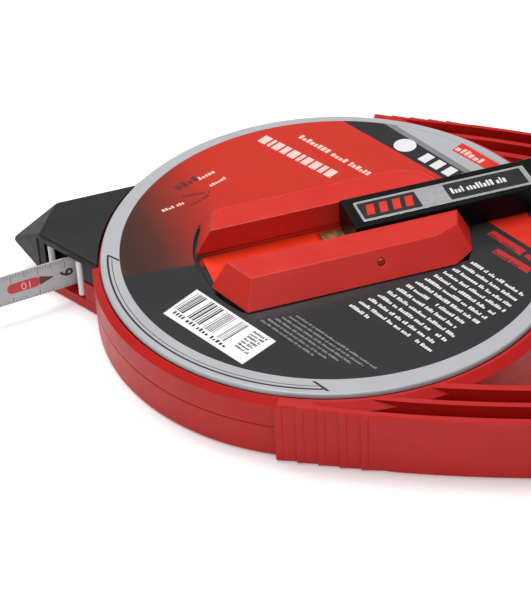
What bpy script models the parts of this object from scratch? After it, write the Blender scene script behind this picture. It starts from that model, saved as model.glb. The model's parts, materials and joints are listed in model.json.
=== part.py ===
"""Closed-case surveying tape measure with a folding crank, built as separate pieces.

Units are metres with +Z up.  The origin is on the reel axis at the underside of the case.
+X points from the reel towards the D-shaped handle and the tape leaves the nose near -X.
"""
import math

import bmesh
import bpy
from mathutils import Matrix, Vector

MM = 0.001

# ---- driving dimensions, in millimetres and degrees -------------------------------------
GAP = 0.3                    # clearance between touching pieces
TAPE_WIDTH = 12.5
TAPE_THICK = 0.5

CASE_RADIUS = 83.0           # outside of the round drum
CASE_HEIGHT = 23.5           # top of the red rim
MID_Z = 12.5                 # parting plane of the two shells, and middle of the tape
CAVITY_RADIUS = 78.0
FLOOR = 2.5
LEDGE_LOW, LEDGE_HIGH = 20.8, 23.0       # ledge that keeps the reel in the case
LEDGE_RADIUS = 71.0
RIM_CHAMFER = 2.2            # slope around the top of the drum
RAIL_CHAMFER = 0.8           # smaller slope along the rails and the grip bar

DISC_RADIUS = 80.0           # turning side disc of the reel
DISC_LOW, DISC_HIGH = 23.3, 25.0
LABEL_RADIUS = 74.4
LABEL_CENTRE = (0.6, 2.1)
LABEL_THICK = 0.4

RAIL_RADIUS = 430.0          # side rails bow outwards on a long radius
RAIL_CENTRE = (8.0, -344.9)  # for the rail at +Y
HANDLE_END = 150.0
HANDLE_CORNER = 28.0
BAR_INNER = 123.0
OPENING_CORNER = 12.0
BAND_RADIUS = 84.6           # drum wall seen inside the handle
BAND_TOP_RADIUS = 81.6       # the same wall at its top, above the slope
RAIL_DEPTH = 18.3            # outer wall to inside of the inner rib
POCKETS = ((2.4, 8.0), (10.0, 15.8))     # two grooves along each rail, from its outer face
POCKET_END = 106.0
WEB_HALF = 2.5               # half thickness of the web between upper and lower grooves

RIDGE_COUNT = 5
RIDGE_PITCH = 6.9
RIDGE_START = -1.0
RIDGE_PROUD, RIDGE_SUNK = 0.45, 0.25
GROOVE_TIP = 0.5             # blunts the groove where the rail only just meets the drum
BASE_CHAMFER = 1.0
BAR_WALL, BAR_ROOM = 3.0, 30.0           # wall of the hollow grip bar, half length of its hollow

NOSE_FRONT, NOSE_BASE = -102.5, -74.0
NOSE_FRONT_NEAR, NOSE_BASE_NEAR = 11.3, 26.8     # reach to -Y, on the mouth's side
NOSE_FRONT_FAR, NOSE_BASE_FAR = 9.2, 26.8        # reach to +Y
NOSE_TIP = (-118.0, -0.8)
NOSE_TOP = 23.6
LIP_HEIGHT = 4.5
NOSE_WALL_RADIUS = 80.9      # drum wall behind the nose cap
LAP = 0.1                    # shoulder runs this far into the nose room's wall
MOUTH = (-92.4, -16.8)       # where the tape crosses the side of the nose
MOUTH_AHEAD, MOUTH_BEHIND = 10.7, 8.9    # mouth opening to the front and rear of the tape
MOUTH_DEPTH = 7.0
MOUTH_TOP = 20.0
BROW_LOW, BROW_DEPTH = 21.1, 0.6         # top of the nose stands out over its side
SHOULDER = 9.0               # behind this the lower shell rises to the parting plane
POST_AHEAD, POST_BEHIND = 8.2, 5.9
POST_RADIUS = 1.2
POST_INSET = 1.6
GATE_HALF = 3.5              # half width of the passage behind the mouth
GATE_LOW = 5.45              # the passage clears the tape's lower edge

TAPE_ANGLE = math.radians(218.3)
TAPE_TAIL = 32.0             # straight tape between the mouth and the winding
TAPE_FREE = 72.0             # tape outside the mouth
CLIP_LENGTH = 13.0
CLIP_AHEAD = 3.0             # clip beyond the end of the tape
CLIP_PLATE = 0.6             # thickness of each clip plate
CLIP_PROUD = 0.3             # clip and rivet heads stand out this far
BARREL_RADIUS, BARREL_HALF, BARREL_AHEAD = 2.4, 4.5, 1.4
RIVET_RADIUS, RIVET_SPREAD, RIVET_BACK = 1.0, 3.2, 5.0
RING_LENGTH = 17.0
RING_HALF, RING_CORNER = 6.6, 2.5
RING_WIRE = 1.0

FLANGE_RADIUS = 74.0
FLANGE_THICK = 1.1
PACK_RADIUS = 66.0
CORE_RADIUS = 20.0
AXLE_RADIUS = 6.0
WASHER_RADIUS, WASHER_THICK = 12.0, 0.6

HUB_RADIUS = 46.0
HUB_HALF = 26.0              # half width of the hub block between the cheeks' feet
HUB_GAP = 2.0                # visible gap at the ends of the hub block
HUB_BASE_RADIUS = 62.0
HUB_LOW, HUB_HIGH = 20.45, 25.0
SLOT_HALF = 9.45
SLOT_FLOOR = 23.5
SKIRT = 0.5                  # hub block runs this far into its base
SPRING_REAR, SPRING_FRONT, SPRING_HALF, SPRING_THICK = -2.0, 6.5, 7.5, 0.6
CHEEK_TOP = 34.3
CHEEK_FOOT = ((-46.5, SLOT_HALF), (-39.0, 27.5), (35.5, 27.5), (43.5, 22.0), (47.5, SLOT_HALF))
CHEEK_CROWN = ((-40.4, SLOT_HALF), (-35.4, 21.0), (30.0, 21.0), (39.6, 17.2), (42.6, SLOT_HALF))
CRANK_HEADING = math.radians(31.0)

PIN_U, PIN_Z, PIN_RADIUS = 9.6, 30.5, 2.0
PIN_HALF = 23.3
ARM_WIDTH = 17.5
ARM_LOW, ARM_HIGH = -5.0, 5.0            # below and above the fold pin
ARM_INNER = -3.6
INLAY_START, INLAY_END, INLAY_HALF = 0.2, 64.0, 6.0
INLAY_DEPTH = 1.0
KNOB_REACH = 78.4                        # fold pin to knob axis
KNOB_RADIUS = 10.0
KNOB_TOP = 27.0                          # above the fold pin
KNOB_LIFT = 0.6                          # knob above the arm
CAP_RADIUS, CAP_DEPTH = 6.0, 2.0
SPINDLE_RADIUS = 2.5

SCREW_SHAFT, SCREW_HEAD = 1.2, 2.0
SCREW_RING = 79.6            # keeps both shaft and head inside the drum wall and floor
SCREW_LOW, SCREW_NECK, SCREW_TOP = 0.5, 1.9, 19.5
SCREW_SEAT = 2.2

ROUND = 72                   # facets on a large circle
FINE_ROUND = 96
CUT_LOW, CUT_HIGH = -5.0, 40.0           # cutters that pass right through the case
NEAREST = -0.99              # cosine limit where a rail arc only comes near the drum wall

RED = (0.62, 0.035, 0.03)
BRIGHT_RED = (0.70, 0.045, 0.035)
BLACK = (0.03, 0.03, 0.032)
GREY = (0.55, 0.56, 0.57)


# ---- scene and helpers ----------------------------------------------------------------
for old in list(bpy.data.objects):
    bpy.data.objects.remove(old, do_unlink=True)

parts = bpy.data.collections.new("tape_measure")
cutters = bpy.data.collections.new("tape_measure_cutters")
for group in (parts, cutters):
    bpy.context.scene.collection.children.link(group)


def polar(radius, angle, centre=(0.0, 0.0)):
    return (centre[0] + radius * math.cos(angle), centre[1] + radius * math.sin(angle))


def arc(radius, start, stop, count, centre=(0.0, 0.0)):
    """Points on an arc from start to stop, both ends included."""
    return [polar(radius, start + (stop - start) * i / count, centre) for i in range(count + 1)]


def flipped(points):
    """Mirror image of an outline in the XZ plane."""
    return [(x, -y) for x, y in reversed(points)]


def material(name, colour, roughness, metallic=0.0):
    made = bpy.data.materials.new(name)
    made.use_nodes = True
    shader = made.node_tree.nodes["Principled BSDF"]
    shader.inputs["Base Color"].default_value = (*colour, 1.0)
    shader.inputs["Roughness"].default_value = roughness
    shader.inputs["Metallic"].default_value = metallic
    return made


def add_object(name, mesh, group=parts, parent=None):
    made = bpy.data.objects.new(name, mesh)
    group.objects.link(made)
    made.parent = parent
    if group is cutters:
        made.hide_render = True
        made.display_type = "WIRE"
    return made


def finish(piece, colour, roughness, metallic=0.0, smooth=35.0):
    piece.data.materials.clear()
    piece.data.materials.append(material(piece.name, colour, roughness, metallic))
    piece.data.shade_smooth()
    piece.data.set_sharp_from_angle(angle=math.radians(smooth))
    return piece


def axis_empty(name, location, parent=None, turn=0.0):
    empty = bpy.data.objects.new(name, None)
    parts.objects.link(empty)
    empty.parent = parent
    empty.location = [value * MM for value in location]
    empty.rotation_euler = (0.0, 0.0, turn)
    empty.empty_display_size = 10 * MM
    return empty


def mesh_from_bmesh(name, shape):
    mesh = bpy.data.meshes.new(name)
    bmesh.ops.recalc_face_normals(shape, faces=shape.faces)
    shape.to_mesh(mesh)
    shape.free()
    return mesh


def prism(name, loops, low, high, group=parts, parent=None):
    """Flat outline (with holes) raised from low to high."""
    curve = bpy.data.curves.new(name, "CURVE")
    curve.dimensions = "2D"
    curve.fill_mode = "BOTH"
    curve.extrude = (high - low) / 2 * MM
    for loop in loops:
        spline = curve.splines.new("POLY")
        spline.points.add(len(loop) - 1)
        for point, (x, y) in zip(spline.points, loop):
            point.co = (x * MM, y * MM, 0.0, 1.0)
        spline.use_cyclic_u = True
    flat = add_object(name + "_outline", curve, cutters)
    depsgraph = bpy.context.evaluated_depsgraph_get()
    mesh = bpy.data.meshes.new_from_object(flat.evaluated_get(depsgraph))
    bpy.data.objects.remove(flat, do_unlink=True)
    shape = bmesh.new()
    shape.from_mesh(mesh)
    bmesh.ops.remove_doubles(shape, verts=shape.verts, dist=0.005 * MM)
    bmesh.ops.dissolve_limit(shape, angle_limit=0.001, verts=shape.verts, edges=shape.edges)
    bmesh.ops.translate(shape, verts=shape.verts, vec=(0.0, 0.0, (low + high) / 2 * MM))
    return add_object(name, mesh_from_bmesh(name, shape), group, parent)


def loft(name, levels, group=parts, parent=None):
    """Solid through matching outlines at rising heights: [(outline, height), ...]."""
    shape = bmesh.new()
    rings = [[shape.verts.new((x * MM, y * MM, height * MM)) for x, y in outline]
             for outline, height in levels]
    shape.faces.new(rings[0])
    shape.faces.new(rings[-1])
    for lower, upper in zip(rings, rings[1:]):
        for i in range(len(lower)):
            j = (i + 1) % len(lower)
            shape.faces.new((lower[i], lower[j], upper[j], upper[i]))
    return add_object(name, mesh_from_bmesh(name, shape), group, parent)


def turned(name, profile, group=parts, parent=None, steps=ROUND, location=(0.0, 0.0, 0.0)):
    """Turn a closed profile of (radius, height) about Z; outer side listed top to bottom."""
    on_axis = any(radius == 0.0 for radius, _ in profile)
    mesh = bpy.data.meshes.new(name)
    count = len(profile)
    edges = [(i, i + 1) for i in range(count - 1)]
    if not on_axis:
        edges.append((count - 1, 0))
    mesh.from_pydata([(radius * MM, 0.0, height * MM) for radius, height in profile], edges, [])
    made = add_object(name, mesh, group, parent)
    made.location = [value * MM for value in location]
    screw = made.modifiers.new("Turn", "SCREW")
    screw.angle = 2 * math.pi
    screw.steps = steps
    screw.render_steps = steps
    screw.use_merge_vertices = True
    screw.merge_threshold = 0.00001
    return made


def ring_profile(inner, outer, low, high):
    return [(outer, high), (outer, low), (inner, low), (inner, high)]


def rod_profile(radius, low, high):
    return [(0.0, high), (radius, high), (radius, low), (0.0, low)]


def rod(name, radius, low, high, centre=(0.0, 0.0), group=parts, parent=None, steps=ROUND):
    """Upright cylinder from low to high."""
    shape = bmesh.new()
    bmesh.ops.create_cone(shape, cap_ends=True, segments=steps, radius1=radius * MM,
                          radius2=radius * MM, depth=(high - low) * MM)
    place = Matrix.Translation((centre[0] * MM, centre[1] * MM, (low + high) / 2 * MM))
    bmesh.ops.transform(shape, matrix=place, verts=shape.verts)
    return add_object(name, mesh_from_bmesh(name, shape), group, parent)


def cross_rod(name, radius, start, stop, centre, group=parts, parent=None, steps=24):
    """Cylinder along Y from start to stop, through centre (x, z)."""
    shape = bmesh.new()
    bmesh.ops.create_cone(shape, cap_ends=True, segments=steps, radius1=radius * MM,
                          radius2=radius * MM, depth=(stop - start) * MM)
    place = Matrix.Translation((centre[0] * MM, (start + stop) / 2 * MM, centre[1] * MM))
    bmesh.ops.transform(shape, matrix=place @ Matrix.Rotation(math.pi / 2, 4, "X"),
                        verts=shape.verts)
    return add_object(name, mesh_from_bmesh(name, shape), group, parent)


def block(name, low, high, group=parts, parent=None):
    """Box between two corners."""
    shape = bmesh.new()
    size = [(b - a) * MM for a, b in zip(low, high)]
    middle = [(a + b) / 2 * MM for a, b in zip(low, high)]
    bmesh.ops.create_cube(shape, size=1.0, matrix=Matrix.Translation(middle) @ Matrix.Diagonal((*size, 1.0)))
    return add_object(name, mesh_from_bmesh(name, shape), group, parent)


def hull(name, points, group=parts, parent=None):
    """Convex solid through a few corner points."""
    shape = bmesh.new()
    for point in points:
        shape.verts.new([value * MM for value in point])
    found = bmesh.ops.convex_hull(shape, input=shape.verts)
    bmesh.ops.delete(shape, geom=found["geom_interior"], context="VERTS")
    bmesh.ops.dissolve_limit(shape, angle_limit=0.01, verts=shape.verts, edges=shape.edges)
    return add_object(name, mesh_from_bmesh(name, shape), group, parent)


def cut(piece, *tools, operation="DIFFERENCE"):
    for tool in tools:
        boolean = piece.modifiers.new("Cut " + tool.name, "BOOLEAN")
        boolean.operation = operation
        boolean.solver = "EXACT"
        boolean.object = tool


def soften(piece, width, segments=2, angle=40.0):
    bevel = piece.modifiers.new("Soft edges", "BEVEL")
    bevel.width = width * MM
    bevel.segments = segments
    bevel.limit_method = "ANGLE"
    bevel.angle_limit = math.radians(angle)


# ---- outlines --------------------------------------------------------------------------
MOUTH_LINE = math.atan2(NOSE_BASE_NEAR - NOSE_FRONT_NEAR, NOSE_BASE - NOSE_FRONT)


def rail_angle(x, radius):
    """Angle about the rail's centre at which a rail arc reaches x."""
    return math.acos((x - RAIL_CENTRE[0]) / radius)


def rail_corner(radius, depth, end):
    """Centre and end angle of a corner that runs from the line x = end into a rail arc."""
    x = end - radius
    reach = RAIL_RADIUS - depth - radius
    angle = rail_angle(x, reach)
    return (x, RAIL_CENTRE[1] + reach * math.sin(angle)), angle


def case_outline(inset=0.0, rail_inset=None):
    """Outer outline of the case, or the same outline moved inwards at the drum and the rails."""
    if rail_inset is None:
        rail_inset = inset
    centre, join = rail_corner(HANDLE_CORNER, 0.0, HANDLE_END)
    upper = arc(HANDLE_CORNER - rail_inset, 0.0, join, 7, centre)
    radius = RAIL_RADIUS - rail_inset
    ridge_end = RIDGE_START + RIDGE_COUNT * RIDGE_PITCH
    upper += arc(radius, join, rail_angle(ridge_end, radius), 6, RAIL_CENTRE)[1:-1]
    for i in reversed(range(RIDGE_COUNT)):
        left = RIDGE_START + i * RIDGE_PITCH + rail_inset * (i == 0)
        right = RIDGE_START + (i + 1) * RIDGE_PITCH
        upper.append(polar(radius - RIDGE_SUNK, rail_angle(right, radius), RAIL_CENTRE))
        upper.append(polar(radius + RIDGE_PROUD, rail_angle(left, radius), RAIL_CENTRE))
    drum = CASE_RADIUS - inset
    start = math.acos((RIDGE_START + rail_inset) / drum)
    return upper + arc(drum, start, 2 * math.pi - start, 54) + flipped(upper)


def drum_meeting(radius, band):
    """Angle about the reel axis at which a rail arc crosses the drum wall, or comes nearest to it."""
    offset = math.hypot(*RAIL_CENTRE)
    cosine = (offset ** 2 + band ** 2 - radius ** 2) / (2 * offset * band)
    return math.atan2(RAIL_CENTRE[1], RAIL_CENTRE[0]) + math.acos(max(cosine, NEAREST))


def opening_outline(band=BAND_RADIUS):
    """Finger opening between the drum, the rails and the grip bar."""
    centre, join = rail_corner(OPENING_CORNER, RAIL_DEPTH, BAR_INNER)
    upper = arc(OPENING_CORNER, 0.0, join, 5, centre)
    radius = RAIL_RADIUS - RAIL_DEPTH
    touch = drum_meeting(radius, band)
    far = rail_angle(band * math.cos(touch), radius)
    upper += arc(radius, join, far, 4, RAIL_CENTRE)[1:-1]
    return upper + arc(band, touch, -touch, 20) + flipped(upper)


def pocket_outline(outer_inset, inner_inset, band=BAND_RADIUS):
    """Groove along a rail between two depths, ending against the drum."""
    outer, inner = RAIL_RADIUS - outer_inset, RAIL_RADIUS - inner_inset
    start, stop = drum_meeting(inner, band), drum_meeting(outer, band)
    near = arc(band, start, stop, 4)
    tip = rail_angle(near[-1][0] + GROOVE_TIP, outer)
    above = arc(outer, tip, rail_angle(POCKET_END, outer), 5, RAIL_CENTRE)
    below = arc(inner, rail_angle(POCKET_END, inner), rail_angle(near[0][0], inner), 5, RAIL_CENTRE)
    return near + above + below[:-1]


def nose_outline(grow=0.0):
    """Trapezoid of the nose; grow moves its front and sides outwards."""
    def side(front_reach, base_reach):
        slope = (base_reach - front_reach) / (NOSE_BASE - NOSE_FRONT)
        shift = grow * math.hypot(1.0, slope)
        return front_reach + shift - slope * grow, base_reach + shift

    front = NOSE_FRONT - grow
    near_front, near_base = side(NOSE_FRONT_NEAR, NOSE_BASE_NEAR)
    far_front, far_base = side(NOSE_FRONT_FAR, NOSE_BASE_FAR)
    return [(front, -near_front), (NOSE_BASE, -near_base), (NOSE_BASE, far_base), (front, far_front)]


# ---- case shells -----------------------------------------------------------------------
SCREW_SPOTS = [polar(SCREW_RING, math.radians(angle)) for angle in (70, 126, 234, 290)]
SCREW_SPOTS += [(136.5, 38.0), (136.5, -38.0), (-94.0, 5.0)]


def mouth_box(name, inner, outer, half_width, low, high):
    """Box cutter along the tape's path, from inner to outer of the mouth point."""
    tool = block(name, (-inner, -half_width, low), (outer, half_width, high), cutters)
    tool.location = (MOUTH[0] * MM, MOUTH[1] * MM, 0.0)
    tool.rotation_euler = (0.0, 0.0, TAPE_ANGLE)
    return tool


def beside_mouth(name, low, high):
    """Box cutter in the mouth's frame: X along the side of the nose to its front, Y outwards."""
    tool = block(name, low, high, cutters)
    tool.location = (MOUTH[0] * MM, MOUTH[1] * MM, 0.0)
    tool.rotation_euler = (0.0, 0.0, math.pi - MOUTH_LINE)
    return tool


def shoulder_box(name, grow):
    """Space behind the mouth, up to the parting plane."""
    return beside_mouth(name, (-60.0, -40.0, CUT_LOW), (grow - SHOULDER, 10.0, MID_Z - GAP / 2 + grow))


def nose_clearance(name, low, high):
    """Room for the nose cap in front of the drum wall."""
    tool = prism(name, [nose_outline(GAP)], low, high, cutters)
    core = rod(name + "_drum", NOSE_WALL_RADIUS, low + CUT_LOW, high + 5, group=cutters)
    cut(tool, core)
    return tool


def sloped_room(name, wide, narrow, low):
    """Cutter from low to above the case whose wall at the drum slopes just below the rim."""
    slope_low = CASE_HEIGHT - RIM_CHAMFER
    return loft(name, [(wide, low), (wide, slope_low), (narrow, CASE_HEIGHT), (narrow, CUT_HIGH)], cutters)


def build_lower_shell():
    top = MID_Z - GAP / 2
    foot = case_outline(BASE_CHAMFER)
    shell = loft("lower_shell", [(foot, 0.0), (case_outline(), BASE_CHAMFER), (case_outline(), top)])
    cut(shell, nose_clearance("nose_room_low", LIP_HEIGHT, top + 1))
    lip = prism("nose_lip", [nose_outline()], 0.0, LIP_HEIGHT, cutters)
    shoulder = prism("nose_shoulder", [nose_outline(-LAP)], LIP_HEIGHT - 1.0, top, cutters)
    cut(shoulder, shoulder_box("shoulder_low", 0.0), operation="INTERSECT")
    cut(shell, lip, shoulder, operation="UNION")
    tools = [prism("finger_opening_low", [opening_outline()], CUT_LOW, CUT_HIGH, cutters)]
    tools.append(rod("drum_hollow", CAVITY_RADIUS, FLOOR, top + 1, group=cutters))
    tools.append(block("bar_hollow", (BAR_INNER + BAR_WALL, -BAR_ROOM, FLOOR),
                       (HANDLE_END - BAR_WALL, BAR_ROOM, top + 1), cutters))
    tools.append(mouth_box("tape_gate_low", TAPE_TAIL, 2, GATE_HALF, GATE_LOW, top + 1))
    for inset in POCKETS:
        outline = pocket_outline(*inset)
        for side in (outline, flipped(outline)):
            tools.append(prism("pocket_low", [side], -1.0, MID_Z - WEB_HALF, cutters))
    for x, y in SCREW_SPOTS:
        tools.append(rod("screw_seat", SCREW_HEAD + GAP, -1.0, SCREW_SEAT, (x, y), cutters, steps=16))
        tools.append(rod("screw_way", SCREW_SHAFT + GAP, 1.0, top + 1, (x, y), cutters, steps=12))
    cut(shell, *tools)
    finish(shell, RED, 0.35)


def build_upper_shell():
    low = MID_Z + GAP / 2
    levels = [(case_outline(), low), (case_outline(), CASE_HEIGHT - RIM_CHAMFER),
              (case_outline(RIM_CHAMFER - RAIL_CHAMFER, 0.0), CASE_HEIGHT - RAIL_CHAMFER),
              (case_outline(RIM_CHAMFER, RAIL_CHAMFER), CASE_HEIGHT)]
    shell = loft("upper_shell", levels)
    tools = [sloped_room("finger_opening_high", opening_outline(), opening_outline(BAND_TOP_RADIUS), CUT_LOW)]
    tools.append(rod("drum_hollow_high", CAVITY_RADIUS, low - 1, LEDGE_LOW, group=cutters))
    tools.append(rod("disc_seat", DISC_RADIUS + GAP, LEDGE_HIGH, CUT_HIGH, group=cutters, steps=FINE_ROUND))
    tools.append(rod("ledge_hole", LEDGE_RADIUS, 0.0, CUT_HIGH, group=cutters))
    tools.append(block("bar_hollow_high", (BAR_INNER + BAR_WALL, -BAR_ROOM, low - 1),
                       (HANDLE_END - BAR_WALL, BAR_ROOM, CASE_HEIGHT - FLOOR), cutters))
    tools.append(nose_clearance("nose_room_high", low - 1, CUT_HIGH))
    tools.append(mouth_box("tape_gate_high", TAPE_TAIL, 2, GATE_HALF, low - 1, 2 * MID_Z - GATE_LOW))
    for inset in POCKETS:
        wide, narrow = pocket_outline(*inset), pocket_outline(*inset, BAND_TOP_RADIUS)
        tools.append(sloped_room("pocket_high", wide, narrow, MID_Z + WEB_HALF))
        tools.append(sloped_room("pocket_high", flipped(wide), flipped(narrow), MID_Z + WEB_HALF))
    for x, y in SCREW_SPOTS[:-1]:
        tools.append(rod("screw_way_high", SCREW_SHAFT + GAP, low - 1, SCREW_TOP + GAP, (x, y), cutters,
                         steps=12))
    cut(shell, *tools)
    finish(shell, RED, 0.35)


def build_case():
    build_lower_shell()
    build_upper_shell()
    for index, (x, y) in enumerate(SCREW_SPOTS, 1):
        profile = [(0.0, SCREW_TOP), (SCREW_SHAFT, SCREW_TOP), (SCREW_SHAFT, SCREW_NECK + GAP + 0.1),
                   (SCREW_HEAD, SCREW_NECK), (SCREW_HEAD, SCREW_LOW), (0.0, SCREW_LOW)]
        screw = turned("case_screw_%d" % index, profile, steps=12, location=(x, y, 0.0))
        finish(screw, (0.5, 0.5, 0.52), 0.3, 1.0)


# ---- nose ------------------------------------------------------------------------------
def build_nose():
    low = LIP_HEIGHT + GAP
    corners = [(x, y, z) for x, y in nose_outline() for z in (low, NOSE_TOP)]
    cap = hull("nose_cap", corners + [(*NOSE_TIP, MID_Z)])
    drum = rod("nose_drum", NOSE_WALL_RADIUS + GAP, 0.0, CUT_HIGH, group=cutters)
    mouth = beside_mouth("mouth", (-MOUTH_BEHIND, -MOUTH_DEPTH, 0.0), (MOUTH_AHEAD, 4.0, MOUTH_TOP))
    side = beside_mouth("below_brow", (-30.0, -BROW_DEPTH, 0.0), (14.0, 6.0, BROW_LOW))
    rear = shoulder_box("shoulder_high", GAP)
    gate = mouth_box("cap_gate", TAPE_TAIL, 2, GATE_HALF, GATE_LOW, 2 * MID_Z - GATE_LOW)
    x, y = SCREW_SPOTS[-1]
    way = rod("cap_screw_way", SCREW_SHAFT + GAP, 0.0, SCREW_TOP + GAP, (x, y), cutters, steps=12)
    cut(cap, drum, mouth, side, rear, gate, way)
    finish(cap, BLACK, 0.45)
    for name, along in (("guide_post_front", POST_AHEAD), ("guide_post_rear", -POST_BEHIND)):
        heading = math.pi - MOUTH_LINE
        spot = polar(along, heading, MOUTH)
        centre = polar(POST_INSET, heading - math.pi / 2, spot)
        post = rod(name, POST_RADIUS, LIP_HEIGHT + GAP, MOUTH_TOP - GAP, centre, steps=20)
        finish(post, (0.75, 0.75, 0.73), 0.3)


# ---- reel ------------------------------------------------------------------------------
def build_reel():
    pack_low = MID_Z - TAPE_WIDTH / 2
    pack_high = MID_Z + TAPE_WIDTH / 2
    bore = AXLE_RADIUS + GAP
    finish(turned("axle", rod_profile(AXLE_RADIUS, FLOOR + GAP, pack_high - GAP), steps=32),
           (0.5, 0.5, 0.5), 0.3, 1.0)
    washer_top = FLOOR + GAP + WASHER_THICK
    finish(turned("thrust_washer", ring_profile(bore, WASHER_RADIUS, FLOOR + GAP, washer_top), steps=32),
           (0.8, 0.8, 0.75), 0.4)
    reel = axis_empty("reel_axis", (0.0, 0.0, 0.0), turn=CRANK_HEADING)
    core = turned("reel_core", ring_profile(bore, CORE_RADIUS, washer_top + GAP, pack_high), parent=reel,
                  steps=48)
    finish(core, RED, 0.4)
    inner = CORE_RADIUS + GAP
    low_top = pack_low - GAP
    low = turned("reel_flange_lower", ring_profile(inner, FLANGE_RADIUS, low_top - FLANGE_THICK, low_top),
                 parent=reel, steps=60)
    finish(low, RED, 0.4)
    high_low = pack_high + GAP
    high = turned("reel_flange_upper", ring_profile(bore, FLANGE_RADIUS, high_low, high_low + FLANGE_THICK),
                  parent=reel, steps=60)
    finish(high, BLACK, 0.4)
    pack = turned("tape_pack", ring_profile(inner, PACK_RADIUS, pack_low, pack_high), parent=reel, steps=60)
    finish(pack, (0.6, 0.6, 0.58), 0.5)
    build_hub(reel)
    leaf_low = SLOT_FLOOR + GAP
    spring = block("detent_spring", (SPRING_REAR, -SPRING_HALF, leaf_low),
                   (SPRING_FRONT, SPRING_HALF, leaf_low + SPRING_THICK), parent=reel)
    finish(spring, (0.6, 0.5, 0.3), 0.3, 1.0)
    build_cheeks(reel)
    pin = cross_rod("crank_pin", PIN_RADIUS, -PIN_HALF, PIN_HALF, (PIN_U, PIN_Z), parent=reel)
    finish(pin, (0.5, 0.35, 0.25), 0.4, 1.0)
    return reel


def band_outline(radius, half):
    """Round-ended band: a circle cut off by two lines at +half and -half across."""
    edge = math.asin(half / radius)
    return arc(radius, -edge, edge, 12) + arc(radius, math.pi - edge, math.pi + edge, 12)


def build_hub(reel):
    base_top = DISC_LOW - GAP
    hub = prism("hub_block", [band_outline(HUB_RADIUS, HUB_HALF)], base_top - SKIRT, HUB_HIGH, parent=reel)
    base = rod("hub_base", HUB_BASE_RADIUS, HUB_LOW, base_top, group=cutters, parent=reel, steps=48)
    channel = block("hub_channel", (-HUB_BASE_RADIUS, -SLOT_HALF, SLOT_FLOOR),
                    (HUB_BASE_RADIUS, SLOT_HALF, CUT_HIGH), cutters, reel)
    cut(hub, base, operation="UNION")
    cut(hub, channel)
    finish(hub, RED, 0.4)
    disc = turned("side_disc", rod_profile(DISC_RADIUS, DISC_LOW, DISC_HIGH), parent=reel,
                  steps=FINE_ROUND)
    opening = band_outline(HUB_RADIUS + HUB_GAP, HUB_HALF + GAP)
    window = prism("hub_window", [opening], 10.0, CUT_HIGH, cutters, reel)
    turned_back = Matrix.Rotation(-CRANK_HEADING, 2)
    x, y = turned_back @ Vector(LABEL_CENTRE)
    recess = rod("label_recess", LABEL_RADIUS + GAP, DISC_HIGH - LABEL_THICK - GAP, CUT_HIGH, (x, y),
                 cutters, reel, steps=FINE_ROUND)
    cut(disc, window, recess)
    finish(disc, GREY, 0.3, 0.6)
    label = rod("face_label", LABEL_RADIUS, DISC_HIGH - LABEL_THICK, DISC_HIGH, (x, y), parent=reel,
                steps=FINE_ROUND)
    cut(label, window)
    finish(label, BRIGHT_RED, 0.25)


def build_cheeks(reel):
    base = HUB_HIGH + GAP
    for name, side in (("cheek_near", -1), ("cheek_far", 1)):
        corners = [(u, side * v, base) for u, v in CHEEK_FOOT]
        corners += [(u, side * v, CHEEK_TOP) for u, v in CHEEK_CROWN]
        cheek = hull(name, corners, parent=reel)
        hole = cross_rod(name + "_hole", PIN_RADIUS + GAP, -40, 40, (PIN_U, PIN_Z), cutters, reel)
        soften(cheek, 0.5)
        cut(cheek, hole)
        finish(cheek, BRIGHT_RED, 0.25)


# ---- crank and knob --------------------------------------------------------------------
def build_crank(reel):
    crank = axis_empty("crank_axis", (PIN_U, 0.0, PIN_Z), reel)
    half = ARM_WIDTH / 2
    round_end = arc(half, -math.pi / 2, math.pi / 2, 14, (KNOB_REACH, 0.0))
    outline = round_end + [(ARM_INNER, half), (ARM_INNER, -half)]
    arm = prism("crank_arm", [outline], ARM_LOW, ARM_HIGH, parent=crank)
    soften(arm, 0.8)
    inlay_room = block("inlay_room", (INLAY_START, -INLAY_HALF, ARM_HIGH - INLAY_DEPTH),
                       (INLAY_END, INLAY_HALF, ARM_HIGH + 2), cutters, crank)
    pin_way = cross_rod("arm_pin_way", PIN_RADIUS + GAP, -20, 20, (0.0, 0.0), cutters, crank)
    spindle_way = rod("arm_spindle_way", SPINDLE_RADIUS + GAP, -10, 10, (KNOB_REACH, 0.0), cutters, crank,
                      steps=24)
    cut(arm, inlay_room, pin_way, spindle_way)
    finish(arm, BLACK, 0.3)
    inlay = block("arm_inlay", (INLAY_START + GAP, -INLAY_HALF + GAP, ARM_HIGH - INLAY_DEPTH + GAP),
                  (INLAY_END - GAP, INLAY_HALF - GAP, ARM_HIGH), parent=crank)
    finish(inlay, (0.6, 0.6, 0.62), 0.2, 1.0)
    knob_axis = axis_empty("knob_axis", (KNOB_REACH, 0.0, 0.0), crank)
    spindle = turned("knob_spindle", rod_profile(SPINDLE_RADIUS, ARM_LOW + 0.5, KNOB_TOP - CAP_DEPTH - 0.5),
                     parent=knob_axis, steps=24)
    finish(spindle, (0.5, 0.5, 0.52), 0.3, 1.0)
    build_knob(knob_axis)


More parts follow.
